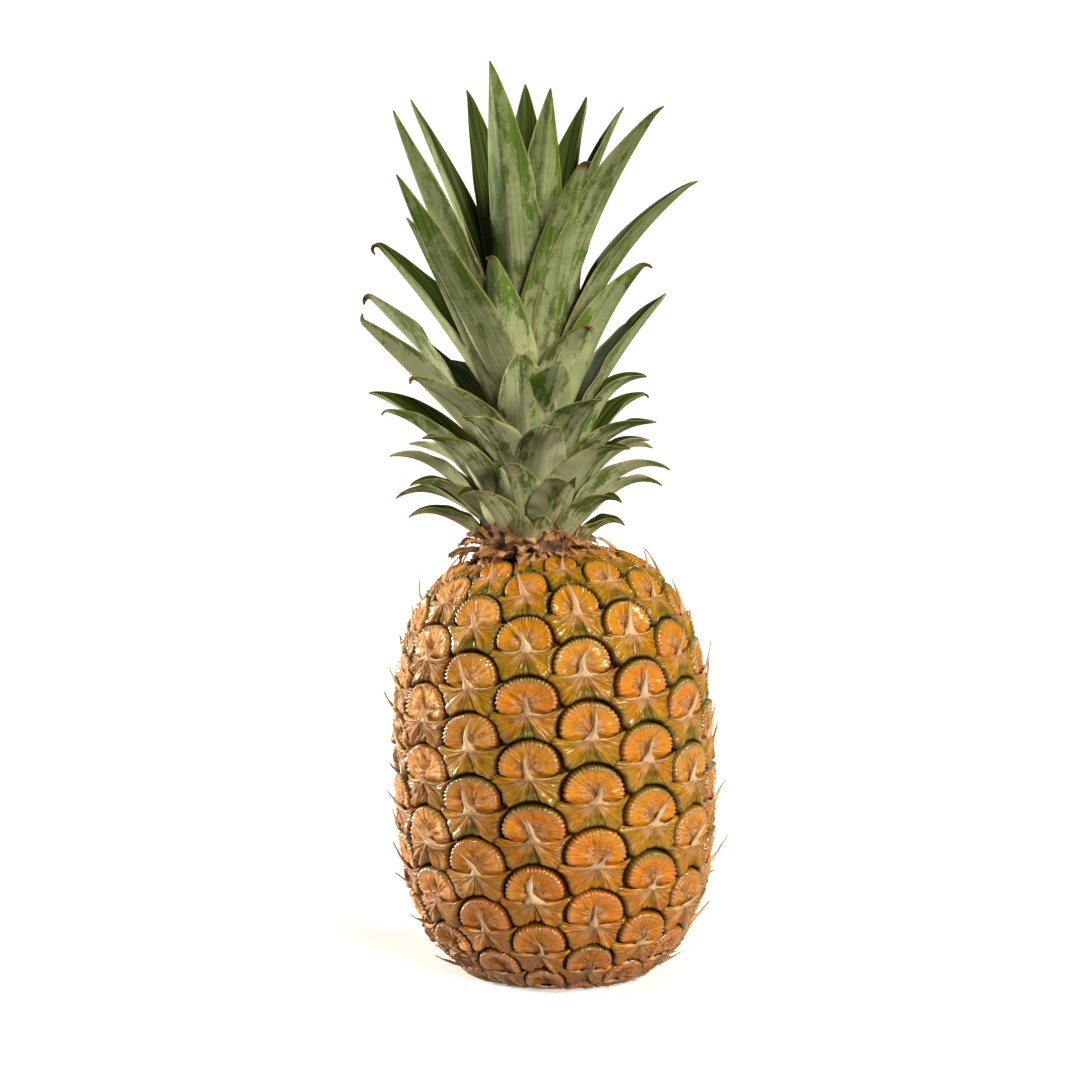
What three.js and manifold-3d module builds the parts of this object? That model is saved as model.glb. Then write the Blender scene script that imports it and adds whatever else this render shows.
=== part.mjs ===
// A whole ripe pineapple, standing on its base: the fruit with its eyes, the leafy crown and the cut stalk.
// Millimetres, +Z up. The origin is on the surface that it stands on, under the fruit's widest section.
// Azimuth 0 faces -Y and grows towards +X.
import * as THREE from "three";
import { mergeVertices } from "three/addons/utils/BufferGeometryUtils.js";
import Module from "manifold-3d";

const wasm = await Module();
wasm.setup();

// Driving dimensions
const fruitRadius = 59; // over the tops of the eyes, at the widest section
const widestHeight = 73.3;
const shoulderRise = 87.5; // from the widest section to where the outline would close above
const baseDrop = 79.5; // and below, which is under the surface, so that the base is a flat spot
const shoulderPower = 2.9; // how square the outline is above the widest section
const basePower = 2.65; // and below it
const swayPerHeight = -0.00026; // the axis bends towards -X with the square of the height
const reliefDepth = 3.2; // from the grooves to the tops of the eyes

// The eyes: one spiral of them, with 7 rows one way, 9 the other way and 16 nearly upright
const eyeTurn = 202.49; // degrees from one eye to the next
const eyePitch = 22.9; // between two eyes of an upright row, at the widest section
const uprightRows = 16;
const facingEyeAzimuth = -8.9; // the eye that faces the front
const facingEyeRise = 10; // along the skin, from the widest section
const shrinkPower = 0.15; // how far the eyes get closer, up the skin, as the fruit narrows
const flattenPower = 0.5; // and how far their relief gets lower
const neckRadius = 22; // no eye's centre lies nearer the axis than these, above and below
const footRadius = 17;

// The crown: one spiral of leaves about a short stem
const leafTurn = 137.5; // degrees from one leaf to the next
const outermostRank = -36;
const innermostRank = 33;
const lostRanks = [13, 21, 31, 32]; // leaves that this crown lacks
const rankZeroAzimuth = -5;
const crownSeat = 156.5; // height of the seat on the fruit
const crownAxis = -10.5; // the crown stands a little to one side
const stemRadius = 19;

// The cut stalk in the base
const stalkRadius = 12.5;
const stalkDepth = 6;
const clearance = 0.3;
const roundSides = 24;
const sliver = 0.05; // details smaller than this are left out of the joined crown

const degree = Math.PI / 180;

// A repeatable value from -1 to 1 for one piece and one purpose.
function wobble(piece, purpose) {
  const wave = Math.sin(piece * 127.1 + purpose * 311.7) * 43758.5453;
  return 2 * (wave - Math.floor(wave)) - 1;
}

// The value at x on a line through [x, value] pairs.
function along(pairs, x) {
  const next = Math.max(1, pairs.findIndex(([at]) => at >= x));
  const [[x0, v0], [x1, v1]] = [pairs[next - 1], pairs[next]];
  return v0 + ((v1 - v0) * (x - x0)) / (x1 - x0);
}

// A closed triangle list, with shared corners merged, as a solid.
function solidFrom(positions) {
  const loose = new THREE.BufferGeometry();
  loose.setAttribute("position", new THREE.Float32BufferAttribute(positions, 3));
  const merged = mergeVertices(loose, 1e-4);
  return new wasm.Manifold(
    new wasm.Mesh({
      numProp: 3,
      vertProperties: merged.attributes.position.array,
      triVerts: new Uint32Array(merged.index.array),
    }),
  );
}

function solidOf(geometry) {
  return solidFrom(geometry.toNonIndexed().attributes.position.array);
}

// The largest body of a solid: sealed hollows and loose scraps are left out.
function mainBody(solid) {
  return solid.decompose().reduce((best, body) => (body.volume() > best.volume() ? body : best));
}

function meshOf(name, solid, material) {
  const { vertProperties, triVerts } = solid.getMesh();
  const geometry = new THREE.BufferGeometry();
  geometry.setAttribute("position", new THREE.BufferAttribute(vertProperties, 3));
  geometry.setIndex(new THREE.BufferAttribute(triVerts, 1));
  geometry.computeVertexNormals();
  const mesh = new THREE.Mesh(geometry, material);
  mesh.name = name;
  return mesh;
}

function cylinder(radius, bottom, top, sides) {
  const geometry = new THREE.CylinderGeometry(radius, radius, top - bottom, sides);
  return geometry.rotateX(Math.PI / 2).translate(0, 0, (top + bottom) / 2);
}

// The fruit's outline is a superellipse, more square above the widest section than below.
function outline(angle) {
  const above = angle > 0;
  const power = 2 / (above ? shoulderPower : basePower);
  const reach = above ? shoulderRise : baseDrop;
  const radius = fruitRadius * Math.cos(angle) ** power;
  const height = widestHeight + Math.sign(angle) * reach * Math.abs(Math.sin(angle)) ** power;
  return [radius, height];
}

// Stations along the outline, each with the count of eyes that lie below it.
const stationCount = 2000;
const eyeRise = eyePitch / uprightRows;
const stations = [];
for (let step = 1; step < stationCount; step++) {
  const [radius, height] = outline(Math.PI * (step / stationCount - 0.5));
  const last = stations.at(-1);
  const run = last ? Math.hypot(radius - last.radius, height - last.height) : 0;
  const travel = (last?.travel ?? 0) + run;
  const count = (last?.count ?? 0) + run / (eyeRise * (radius / fruitRadius) ** shrinkPower);
  stations.push({ radius, height, travel, count });
}
const widest = stations.find((station) => station.height >= widestHeight);
const facing = stations.find((station) => station.travel >= widest.travel + facingEyeRise);
const facingCount = facing.count;
for (const station of stations) station.count -= facingCount;

// The outline at a count: radius, height, and the outward direction there.
function stationAt(count) {
  const wanted = THREE.MathUtils.clamp(count, stations[0].count, stations.at(-1).count);
  const next = Math.max(1, stations.findIndex((station) => station.count >= wanted));
  const [a, b] = [stations[next - 1], stations[next]];
  const share = (wanted - a.count) / (b.count - a.count);
  const slope = Math.atan2(b.height - a.height, b.radius - a.radius);
  return {
    radius: a.radius + share * (b.radius - a.radius),
    height: a.height + share * (b.height - a.height),
    outward: [Math.sin(slope), -Math.cos(slope)],
  };
}

// A point of the skin from its azimuth in degrees, its count and its relief above the grooves.
function skinPoint(azimuth, count, relief) {
  const { radius, height, outward } = stationAt(count);
  const proud = relief * (radius / fruitRadius) ** flattenPower - reliefDepth;
  const out = radius + proud * outward[0];
  const up = height + proud * outward[1];
  const aside = out * Math.sin(azimuth * degree);
  const ahead = out * Math.cos(azimuth * degree);
  // Sections stay square to the bent axis.
  return [aside + swayPerHeight * up ** 2, -ahead, up - 2 * swayPerHeight * up * aside];
}

// One eye is drawn flat, x to the right and y up in millimetres at the widest section, with its relief.
const degreesPerMm = 1 / (fruitRadius * degree);
const rowStep = (count) => {
  const turn = THREE.MathUtils.euclideanModulo(count * eyeTurn + 180, 360) - 180;
  return [turn / degreesPerMm, count * eyeRise];
};
const right = rowStep(9); // to the neighbour up and right
const left = rowStep(7); // and up and left
const between = (a, b, relief = 0) => [
  a * right[0] + b * left[0],
  a * right[1] + b * left[1],
  relief,
];
const rightCorner = between(1 / 3, -1 / 3);
const leftCorner = between(-1 / 3, 1 / 3);
const upperEdge = [
  rightCorner,
  between(1 / 2, 0),
  between(2 / 3, 1 / 3),
  between(1 / 2, 1 / 2),
  between(1 / 3, 2 / 3),
  between(0, 1 / 2),
  leftCorner,
];
const lowerEdge = [
  rightCorner,
  between(0, -1 / 2),
  between(-1 / 3, -2 / 3),
  between(-1 / 2, -1 / 2),
  between(-2 / 3, -1 / 3),
  between(-1 / 2, 0),
  leftCorner,
];
const capHalfWidth = 12;
const capHeight = 9.8;
const capRing = (count, share, reliefs) =>
  Array.from({ length: count }, (_, step) => {
    const turn = (Math.PI * step) / (count - 1);
    return [
      share * capHalfWidth * Math.cos(turn),
      0.8 + share * capHeight * Math.sin(turn),
      reliefs[Math.min(step, count - 1 - step)],
    ];
  });
const crest = capRing(7, 1, [1.5, 2.6, 3, 3]);
const shoulder = capRing(5, 0.5, [2.1, 3.2, 3.2]);
const navel = [0, 1, 1.7];
const capFoot = [rightCorner, crest[0], shoulder[0], navel, shoulder[4], crest[6], leftCorner];
const spineRoot = [
  [1.9, -0.2, 3.3],
  [0, -3, 3.4],
  [-1.9, -0.2, 3.3],
];
const bractLip = [rightCorner, [8, 0, 2.7], spineRoot[0], spineRoot[2], [-8, 0, 2.7], leftCorner];
const bractTop = [rightCorner, [8, 0, 2.7], ...spineRoot, [-8, 0, 2.7], leftCorner];
const bractFolds = [rightCorner, [5.5, -5.6, 2.7], [0, -6.4, 1.9], [-5.5, -5.6, 2.7], leftCorner];

// Triangles between two lines of points that run the same way, right to left.
function strip(upper, lower) {
  const triangles = [];
  let [i, j] = [0, 0];
  while (i < upper.length - 1 || j < lower.length - 1) {
    const nextUpper = (i + 1) / (upper.length - 1);
    const nextLower = (j + 1) / (lower.length - 1 || 1);
    const moveUpper = j === lower.length - 1 || (i < upper.length - 1 && nextUpper <= nextLower);
    const third = moveUpper ? upper[i + 1] : lower[j + 1];
    if (third !== upper[i] && third !== lower[j] && upper[i] !== lower[j])
      triangles.push([upper[i], third, lower[j]]);
    moveUpper ? i++ : j++;
  }
  return triangles;
}

// The dry bract tip: a three-sided spine that grows from its root's edges, curving up in front of the cap.
function spine(eye) {
  const length = 1 + 0.3 * wobble(eye, 1);
  const aside = 1.6 * wobble(eye, 2);
  const lift = 1 + 0.25 * wobble(eye, 3);
  const middle = [0.4 * aside, 2.6 * length, 5.6 * lift];
  const tip = [aside, 8.4 * length, 7.4 * lift];
  const ring = [
    [middle[0] + 0.9, middle[1], middle[2]],
    [middle[0], middle[1] - 1, middle[2] + 0.7],
    [middle[0] - 0.9, middle[1], middle[2]],
  ];
  const triangles = [];
  for (let side = 0; side < 3; side++) {
    const next = (side + 1) % 3;
    triangles.push([spineRoot[side], ring[side], ring[next]]);
    triangles.push([spineRoot[side], ring[next], spineRoot[next]]);
    triangles.push([ring[side], tip, ring[next]]);
  }
  return triangles;
}

const flatEye = [
  ...strip(upperEdge, crest),
  ...strip(crest, shoulder),
  ...strip(shoulder, [navel]),
  ...strip(capFoot, bractLip),
  ...strip(bractTop, bractFolds),
  ...strip(bractFolds, lowerEdge),
];

// The ring of edges that only one triangle uses, near the top or the bottom, closed to a point on the axis.
function closeRing(corners, isHere, tip) {
  const key = (point) => point.map((value) => Math.round(value * 1000)).join();
  const edges = new Map();
  for (let t = 0; t < corners.length; t += 3)
    for (let side = 0; side < 3; side++) {
      const [a, b] = [corners[t + side], corners[t + ((side + 1) % 3)]];
      const [there, back] = [key(a) + ";" + key(b), key(b) + ";" + key(a)];
      if (edges.has(back)) edges.delete(back);
      else edges.set(there, [a, b]);
    }
  return [...edges.values()].filter(([a]) => isHere(a)).flatMap(([a, b]) => [b, a, tip]);
}

function fruitSolid() {
  const corners = [];
  const first = Math.ceil(stations.find((station) => station.radius > footRadius).count);
  const last = Math.floor(stations.findLast((station) => station.radius > neckRadius).count);
  for (let eye = first; eye <= last; eye++) {
    const azimuth = facingEyeAzimuth + eye * eyeTurn;
    for (const triangle of [...flatEye, ...spine(eye)])
      for (const [x, y, relief] of triangle)
        corners.push(skinPoint(azimuth + x * degreesPerMm, eye + y / eyeRise, relief));
  }
  const isTop = (point) => point[2] > widestHeight;
  const isBottom = (point) => point[2] < widestHeight;
  const topPoint = [crownAxis, 0, crownSeat + reliefDepth];
  const bottomPoint = [0, 0, -reliefDepth];
  const closed = [
    ...corners,
    ...closeRing(corners, isTop, topPoint),
    ...closeRing(corners, isBottom, bottomPoint),
  ];
  const whole = solidFrom(closed.flat());
  const below = solidOf(new THREE.BoxGeometry(200, 200, 40).translate(0, 0, -20));
  const seat = solidOf(
    cylinder(stemRadius + clearance, crownSeat, crownSeat + 30, roundSides).translate(crownAxis, 0, 0),
  );
  const pocket = solidOf(cylinder(stalkRadius + clearance, -1, stalkDepth + clearance, roundSides));
  return mainBody(whole.subtract(below).subtract(seat).subtract(pocket));
}

// What each leaf is like, by its rank: 0 is midway, and negative ranks are lower and outside. Lengths are in
// millimetres, and tilts in degrees from upright.
const leafForm = {
  rootHeight: [[-36, 159], [-20, 170], [0, 187], [16, 202], [34, 219]],
  rootRadius: [[-36, 16], [-20, 15], [0, 12], [16, 8], [34, 3]],
  rootTilt: [[-36, 50], [-20, 44], [-6, 32], [6, 20], [18, 14], [34, 6]],
  reach: [[-36, 39], [-30, 48], [-20, 52], [-6, 55], [6, 56], [18, 58], [24, 52], [34, 18]],
  tipHeight: [[-36, 169], [-30, 180], [-20, 194], [-10, 208], [0, 229], [8, 252], [18, 292], [26, 326],
    [34, 320]],
  tipTilt: [[-36, 122], [-20, 104], [-10, 84], [0, 58], [10, 44], [20, 34], [34, 12]],
  width: [[-36, 17], [-20, 21], [0, 23], [16, 26], [26, 24], [34, 18]],
};
// The leaves that show as single ones: reach, tip height, root tilt and tip tilt.
const singleLeaves = {
  "-32": [45, 171, 58, 116], "-27": [57, 176, 54, 118], "-24": [49, 184, 52, 104], "-19": [53, 193, 54, 96],
  "-16": [57, 202, 50, 92], "-15": [44, 199, 44, 96], "-14": [60, 196, 52, 84], "-11": [56, 211, 54, 78],
  "-7": [48, 216, 48, 76], "-6": [65, 216, 62, 72], "-3": [52, 224, 14, 62], "-2": [43, 223, 40, 85],
  0: [40, 233, 14, 40], 1: [38, 222, 20, 50], 2: [65, 245, 40, 44], 3: [33, 242, 20, 62],
  5: [27, 269, 8, 14], 6: [52, 253, 32, 42], 7: [74, 254, 42, 48], 8: [40, 229, 16, 40],
  9: [36, 266, 12, 24], 10: [47, 281, 20, 26], 11: [48, 266, 26, 44], 12: [45, 272, 14, 34],
  14: [24, 268, 8, 14], 15: [61, 274, 28, 42], 16: [35, 303, 10, 18], 17: [44, 292, 12, 26],
  18: [63, 296, 26, 24], 19: [61, 295, 16, 50], 20: [50, 284, 14, 34], 22: [32, 326, 8, 22],
  23: [51, 320, 22, 18], 24: [59, 321, 12, 40], 25: [21, 331, 5, 12], 26: [30, 337, 8, 16],
  27: [36, 322, 8, 26], 28: [49, 325, 16, 24], 29: [12, 328, 3, 6], 30: [22, 316, 6, 14],
  33: [49, 330, 18, 24],
};

const shortLeafShares = [0, 0.3, 0.58, 0.82, 1];
const longLeafShares = [0, 0.26, 0.5, 0.7, 0.87, 1];
const longLeafRank = -9; // from here inwards a leaf has the longer list of sections
const leafThickness = 1.2;
const tipWidth = 1;
const taperShare = 0.62; // the length over which a blade narrows to its tip
const waistShare = 0.35; // and over which it widens from its root
const rootNarrowing = 0.5;
const taperPower = 0.9;
const mostTwist = 14; // degrees, from root to tip
const rootFold = 0.2; // how far a blade's edges stand in front of its keel, as a share of its half width
const tipFold = 0.55;
const thinning = 0.3; // the share of its thickness that a blade loses towards its tip
const handleShare = 0.38; // how far the midrib's two handles reach, as a share of root to tip

// A leaf's midrib is a cubic curve in the upright plane of its azimuth: from root to tip, as [out, up].
function midrib(rank) {
  const at = (name) => along(leafForm[name], rank);
  const [reach, tipHeight, rootTilt, tipTilt] = singleLeaves[rank] ?? [
    at("reach") + 4 * wobble(rank, 4),
    at("tipHeight") + 3 * wobble(rank, 5),
    at("rootTilt"),
    at("tipTilt") + 7 * wobble(rank, 6),
  ];
  const root = new THREE.Vector2(at("rootRadius"), at("rootHeight"));
  const tip = new THREE.Vector2(reach, tipHeight);
  const handle = handleShare * root.distanceTo(tip);
  const lean = (tilt) => new THREE.Vector2(Math.sin(tilt * degree), Math.cos(tilt * degree));
  return new THREE.CubicBezierCurve(
    root,
    lean(rootTilt).multiplyScalar(handle).add(root),
    lean(tipTilt).multiplyScalar(-handle).add(tip),
    tip,
  );
}

// A leaf is a folded blade: each section has its two edges and its keel, on the inner and the outer face.
function leafSolid(rank) {
  const curve = midrib(rank);
  const azimuth = (rankZeroAzimuth + rank * leafTurn) * degree;
  const outward = new THREE.Vector3(Math.sin(azimuth), -Math.cos(azimuth), 0);
  const across = new THREE.Vector3(Math.cos(azimuth), Math.sin(azimuth), 0);
  const upward = new THREE.Vector3(0, 0, 1);
  const fullWidth = along(leafForm.width, rank);
  const twist = mostTwist * wobble(rank, 7) * degree;
  const sections = [];
  for (const share of rank < longLeafRank ? shortLeafShares : longLeafShares) {
    const [point, heading] = [curve.getPointAt(share), curve.getTangentAt(share)];
    const middle = new THREE.Vector3(crownAxis, 0, 0)
      .addScaledVector(outward, point.x)
      .addScaledVector(upward, point.y);
    const along3d = outward.clone().multiplyScalar(heading.x).addScaledVector(upward, heading.y);
    const turned = across.clone().applyAxisAngle(along3d, twist * share);
    const inward = turned.clone().cross(along3d).negate();
    const taper = Math.sin((Math.PI / 2) * Math.min(1, (1 - share) / taperShare)) ** taperPower;
    const waist = rootNarrowing + (1 - rootNarrowing) * Math.min(1, share / waistShare);
    const half = (waist * (tipWidth + (fullWidth - tipWidth) * taper)) / 2;
    const fold = rootFold + (tipFold - rootFold) * share;
    const thick = leafThickness * (1 - thinning * share);
    const corner = (side, face) =>
      middle
        .clone()
        .addScaledVector(turned, side * half)
        .addScaledVector(inward, Math.abs(side) * fold * half + (face * thick) / 2)
        .toArray();
    sections.push([corner(-1, 1), corner(0, 1), corner(1, 1), corner(1, -1), corner(0, -1), corner(-1, -1)]);
  }
  const corners = [];
  const quad = (a, b, c, d) => corners.push(a, b, c, a, c, d);
  for (let step = 1; step < sections.length; step++)
    for (let side = 0; side < 6; side++) {
      const next = (side + 1) % 6;
      const [low, high] = [sections[step - 1], sections[step]];
      // Both faces of a half blade are split along the same diagonal.
      if (side < 2 || side === 5) quad(low[side], high[side], high[next], low[next]);
      else quad(low[next], low[side], high[side], high[next]);
    }
  for (const [section, flip] of [[sections[0], false], [sections.at(-1), true]]) {
    const [a, b, c, d, e, f] = section;
    const caps = [[a, b, e], [a, e, f], [b, c, d], [b, d, e]];
    for (const cap of caps) corners.push(...(flip ? cap.reverse() : cap));
  }
  return solidFrom(corners.flat());
}

function stemSolid() {
  const outlinePoints = [
    [0, crownSeat + clearance],
    [stemRadius, crownSeat + clearance],
    [stemRadius, 166],
    [19, 178],
    [17, 192],
    [14, 208],
    [9, 224],
    [0, 234],
  ].map(([out, up]) => new THREE.Vector2(out, up));
  const stem = new THREE.LatheGeometry(outlinePoints, roundSides);
  return solidOf(stem.rotateX(Math.PI / 2).translate(crownAxis, 0, 0));
}

function crownSolid() {
  const pieces = [stemSolid()];
  for (let rank = outermostRank; rank <= innermostRank; rank++)
    if (!lostRanks.includes(rank)) pieces.push(leafSolid(rank));
  return mainBody(wasm.Manifold.union(pieces).asOriginal().simplify(sliver));
}

const skinMaterial = new THREE.MeshStandardMaterial({ color: 0xc8842a, roughness: 0.5 });
const leafMaterial = new THREE.MeshStandardMaterial({ color: 0x7d8f62, roughness: 0.6 });
const stalkMaterial = new THREE.MeshStandardMaterial({ color: 0xa58a63, roughness: 0.9 });

const pineapple = new THREE.Group();
pineapple.add(meshOf("fruit", fruitSolid(), skinMaterial));
pineapple.add(meshOf("crown", crownSolid(), leafMaterial));
pineapple.add(
  meshOf("stalk", solidOf(cylinder(stalkRadius, 0, stalkDepth, roundSides)), stalkMaterial),
);

export default pineapple;
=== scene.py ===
# %% [markdown]
# # A ripe pineapple, dressed over its solids
#
# The solids hold the fruit, the crown and the cut stalk at their real size. This lesson replaces each of them
# with finer pieces of the same form. Everything is in millimetres while it is worked out, and becomes metres
# when a mesh is made.

# %% Load the solids
import math

import bpy
import numpy as np
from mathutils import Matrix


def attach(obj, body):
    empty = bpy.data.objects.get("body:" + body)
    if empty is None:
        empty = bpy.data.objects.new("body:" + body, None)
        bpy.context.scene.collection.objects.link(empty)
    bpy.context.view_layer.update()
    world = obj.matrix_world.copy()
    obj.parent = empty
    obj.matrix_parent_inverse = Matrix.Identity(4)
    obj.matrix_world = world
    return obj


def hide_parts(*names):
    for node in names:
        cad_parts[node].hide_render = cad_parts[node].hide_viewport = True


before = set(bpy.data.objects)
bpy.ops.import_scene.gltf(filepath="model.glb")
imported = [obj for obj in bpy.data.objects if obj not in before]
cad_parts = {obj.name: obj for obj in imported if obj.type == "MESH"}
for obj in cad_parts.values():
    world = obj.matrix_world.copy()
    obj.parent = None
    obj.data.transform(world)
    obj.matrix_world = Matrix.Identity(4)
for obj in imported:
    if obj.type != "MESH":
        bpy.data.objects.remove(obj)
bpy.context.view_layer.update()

# %% [markdown]
# ## Small tools
#
# Growth is regular but never exact, so each eye and each leaf gets small differences of its own. They could
# come from a random generator, but then adding one piece would change all the others. A hash of the piece's
# number gives each piece its own values, whatever else is made.

# %% Differences between pieces, and smooth steps
def wobble(piece, purpose):
    """A repeatable value from -1 to 1: the part after the point of a large sine, doubled, less one."""
    wave = np.sin(np.asarray(piece, float) * 127.1 + purpose * 311.7) * 43758.5453
    return 2 * (wave - np.floor(wave)) - 1


def smooth(value, low, high):
    """0 below low, 1 above high, and 3t^2 - 2t^3 between them."""
    t = np.clip((value - low) / (high - low), 0, 1)
    return t * t * (3 - 2 * t)


def bump_at(value, middle, width):
    """A bell: exp(-((value - middle) / width)^2)."""
    return np.exp(-(((value - middle) / width) ** 2))


def grain(x, y, purpose):
    """Smooth noise from -1 to 1: a hashed value at each whole (x, y), blended between them."""
    column, row = np.floor(x), np.floor(y)
    right, up = smooth(x - column, 0, 1), smooth(y - row, 0, 1)
    cell = column + 57 * row
    low = wobble(cell, purpose) * (1 - right) + wobble(cell + 1, purpose) * right
    high = wobble(cell + 57, purpose) * (1 - right) + wobble(cell + 58, purpose) * right
    return low * (1 - up) + high * up


print("wobble of eye 0:", float(wobble(0, 1)))

# %% [markdown]
# A piece is one mesh. Many of its parts are the same grid of points, repeated for each eye or leaf, so one
# function turns a stack of grids into faces with whole arrays. Values that a material reads, such as how far
# a point is from an eye's middle, are stored on the points as attributes, because they then follow the shape.

# %% Grids into meshes
def grid_faces(rows, columns, closed=False):
    """Quads between neighbours of a grid: (r, c), (r, c+1), (r+1, c+1), (r+1, c)."""
    r, c = np.meshgrid(np.arange(rows - 1), np.arange(columns if closed else columns - 1), indexing="ij")
    right = (c + 1) % columns
    corners = [r * columns + c, r * columns + right, (r + 1) * columns + right, (r + 1) * columns + c]
    return np.stack(corners, -1).reshape(-1, 4)


def repeated(faces, copies, points_each):
    """The same faces for each copy, with its points' numbers moved on."""
    return (faces[None] + points_each * np.arange(copies)[:, None, None]).reshape(-1, faces.shape[1])


def with_first(values, first, copies):
    """One value for each copy's middle point, then the values of its grid."""
    middles = np.full((copies, 1), first)
    return np.concatenate([middles, values.reshape(copies, -1)], 1).ravel()


def make_piece(name, points, face_lists, material, replaced, values):
    """A smooth mesh from points in millimetres and lists of triangles and quads, riding with the fruit."""
    mesh = bpy.data.meshes.new(name)
    starts, corners = [], []
    total = 0
    for faces in face_lists:
        starts.append(total + faces.shape[1] * np.arange(len(faces)))
        corners.append(faces.ravel())
        total += faces.size
    mesh.vertices.add(len(points))
    mesh.vertices.foreach_set("co", (points / 1000).astype(np.float32).ravel())
    mesh.loops.add(total)
    mesh.loops.foreach_set("vertex_index", np.concatenate(corners).astype(np.int32))
    mesh.polygons.add(sum(map(len, face_lists)))
    mesh.polygons.foreach_set("loop_start", np.concatenate(starts).astype(np.int32))
    mesh.update(calc_edges=True)
    mesh.shade_smooth()
    for key, value in values.items():
        attribute = mesh.attributes.new(key, "FLOAT", "POINT")
        attribute.data.foreach_set("value", np.asarray(value, np.float32).ravel())
    mesh.validate()
    mesh.materials.append(material)
    piece = bpy.data.objects.new(name, mesh)
    bpy.context.scene.collection.objects.link(piece)
    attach(piece, "root")
    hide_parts(replaced)
    triangles = sum(len(faces) * (faces.shape[1] - 2) for faces in face_lists)
    print(f"{name}: {len(points)} points, {triangles} triangles")


print("faces of a grid of 3 by 4 points:", len(grid_faces(3, 4)))

# %% [markdown]
# ## Shader sums
#
# Materials here are sums of noises and stored values. Wrapping a socket in a class lets a sum be written as
# a Python expression, and each operation adds its own Math node.

# %% A socket that can be added and multiplied
class Value:
    """One output of a material's nodes."""

    def __init__(self, tree, socket=None):
        self.tree = tree
        self.socket = socket

    def node(self, kind, settings=None, inputs=None, output=0):
        """A new node: its settings first, then the values or links of its sockets, by name or number."""
        made = self.tree.nodes.new(kind)
        for name, setting in (settings or {}).items():
            setattr(made, name, setting)
        for name, value in (inputs or {}).items():
            if isinstance(value, Value):
                self.tree.links.new(value.socket, made.inputs[name])
            else:
                made.inputs[name].default_value = value
        return Value(self.tree, made.outputs[output])

    def math(self, operation, *values):
        """A Math node on values, which may be numbers or outputs of nodes."""
        return self.node("ShaderNodeMath", {"operation": operation}, dict(enumerate(values)))

    def __add__(self, other):
        return self.math("ADD", self, other)

    def __sub__(self, other):
        return self.math("SUBTRACT", self, other)

    def __rsub__(self, other):
        return self.math("SUBTRACT", other, self)

    def __mul__(self, other):
        return self.math("MULTIPLY", self, other)

    def __abs__(self):
        return self.math("ABSOLUTE", self)

    __radd__ = __add__
    __rmul__ = __mul__

    def step(self, low, high):
        """0 to 1 as the value goes from low to high, eased at both ends."""
        settings = {"interpolation_type": "SMOOTHSTEP"}
        return self.node("ShaderNodeMapRange", settings, {0: self, 1: low, 2: high, 3: 0.0, 4: 1.0})

    def mix(self, first, second):
        """A colour between first and second, by this value."""
        settings = {"data_type": "RGBA"}
        inputs = {0: self, 6: color_of(first), 7: color_of(second)}
        return self.node("ShaderNodeMix", settings, inputs, output=2)


def color_of(color):
    """A colour that a socket takes: a link as it is, three numbers with a 1 after them."""
    return color if isinstance(color, Value) else (*color, 1)


def shade(red, green, blue):
    """A colour given as it looks on a screen, 0 to 255, made linear: about the power 2.2."""
    return tuple((channel / 255) ** 2.2 for channel in (red, green, blue))


def new_finish(name):
    """A material with its nodes' starting point: (material, values, Principled node)."""
    material = bpy.data.materials.new(name)
    material.use_nodes = True
    tree = material.node_tree
    return material, Value(tree), tree.nodes["Principled BSDF"]


def stored(values, name):
    """A value that is stored on the piece's points."""
    return values.node("ShaderNodeAttribute", {"attribute_name": name}, output=2)


def noise(values, scale, detail=4.0, place=None, roughness=0.55):
    """Noise over the object, or over a place of its own."""
    place = place or values.node("ShaderNodeTexCoord", output=3)
    inputs = {"Vector": place, "Scale": scale, "Detail": detail, "Roughness": roughness}
    return values.node("ShaderNodeTexNoise", inputs=inputs)


def place_of(values, x, y, z):
    """A place in a space of its own, such as a cap's turn and share, for a noise to read."""
    return values.node("ShaderNodeCombineXYZ", inputs={0: x, 1: y, 2: z})


WAX_ROUGHNESS = 0.12


def wear(values, principled, color, roughness, height, depth, gloss=0.15, wax=None):
    """Connects a finish: its colour, its roughness, a bump whose depth is in metres, and its wax if any.

    The gloss is a constant: the share of the usual mirror light that the bare surface gives back.
    """
    if wax is not None:
        values.tree.links.new(wax.socket, principled.inputs["Coat Weight"])
        principled.inputs["Coat Roughness"].default_value = WAX_ROUGHNESS
    principled.inputs["Specular IOR Level"].default_value = gloss
    bump = values.node("ShaderNodeBump", inputs={"Height": height, "Strength": 1.0, "Distance": depth})
    values.tree.links.new(color.socket, principled.inputs["Base Color"])
    values.tree.links.new(roughness.socket, principled.inputs["Roughness"])
    values.tree.links.new(bump.socket, principled.inputs["Normal"])


print("a mid grey of 188 is, made linear:", round(shade(188, 188, 188)[0], 3))

# %% [markdown]
# ## The camera
#
# The photograph looks slightly down on a standing fruit from a little over a metre, which gives nearly no
# perspective. So a long lens stands that far off, and aims at the middle of the picture.

# %% Camera
CAMERA_TARGET = np.array([-7.0, 0.0, 162.3])
CAMERA_DISTANCE = 1300.0
CAMERA_RISE = math.radians(4.6)
VIEW_WIDTH = 400.0  # of the picture, at the target
SENSOR_WIDTH = 36.0

camera_data = bpy.data.cameras.new("camera")
camera_data.sensor_width = SENSOR_WIDTH
camera_data.lens = SENSOR_WIDTH * CAMERA_DISTANCE / VIEW_WIDTH
camera = bpy.data.objects.new("camera", camera_data)
ahead = np.array([0.0, math.cos(CAMERA_RISE), -math.sin(CAMERA_RISE)])
camera.location = (CAMERA_TARGET - CAMERA_DISTANCE * ahead) / 1000
camera.rotation_euler = (math.pi / 2 - CAMERA_RISE, 0, 0)
bpy.context.scene.collection.objects.link(camera)
bpy.context.scene.camera = camera
print("lens in mm:", camera_data.lens)

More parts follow.
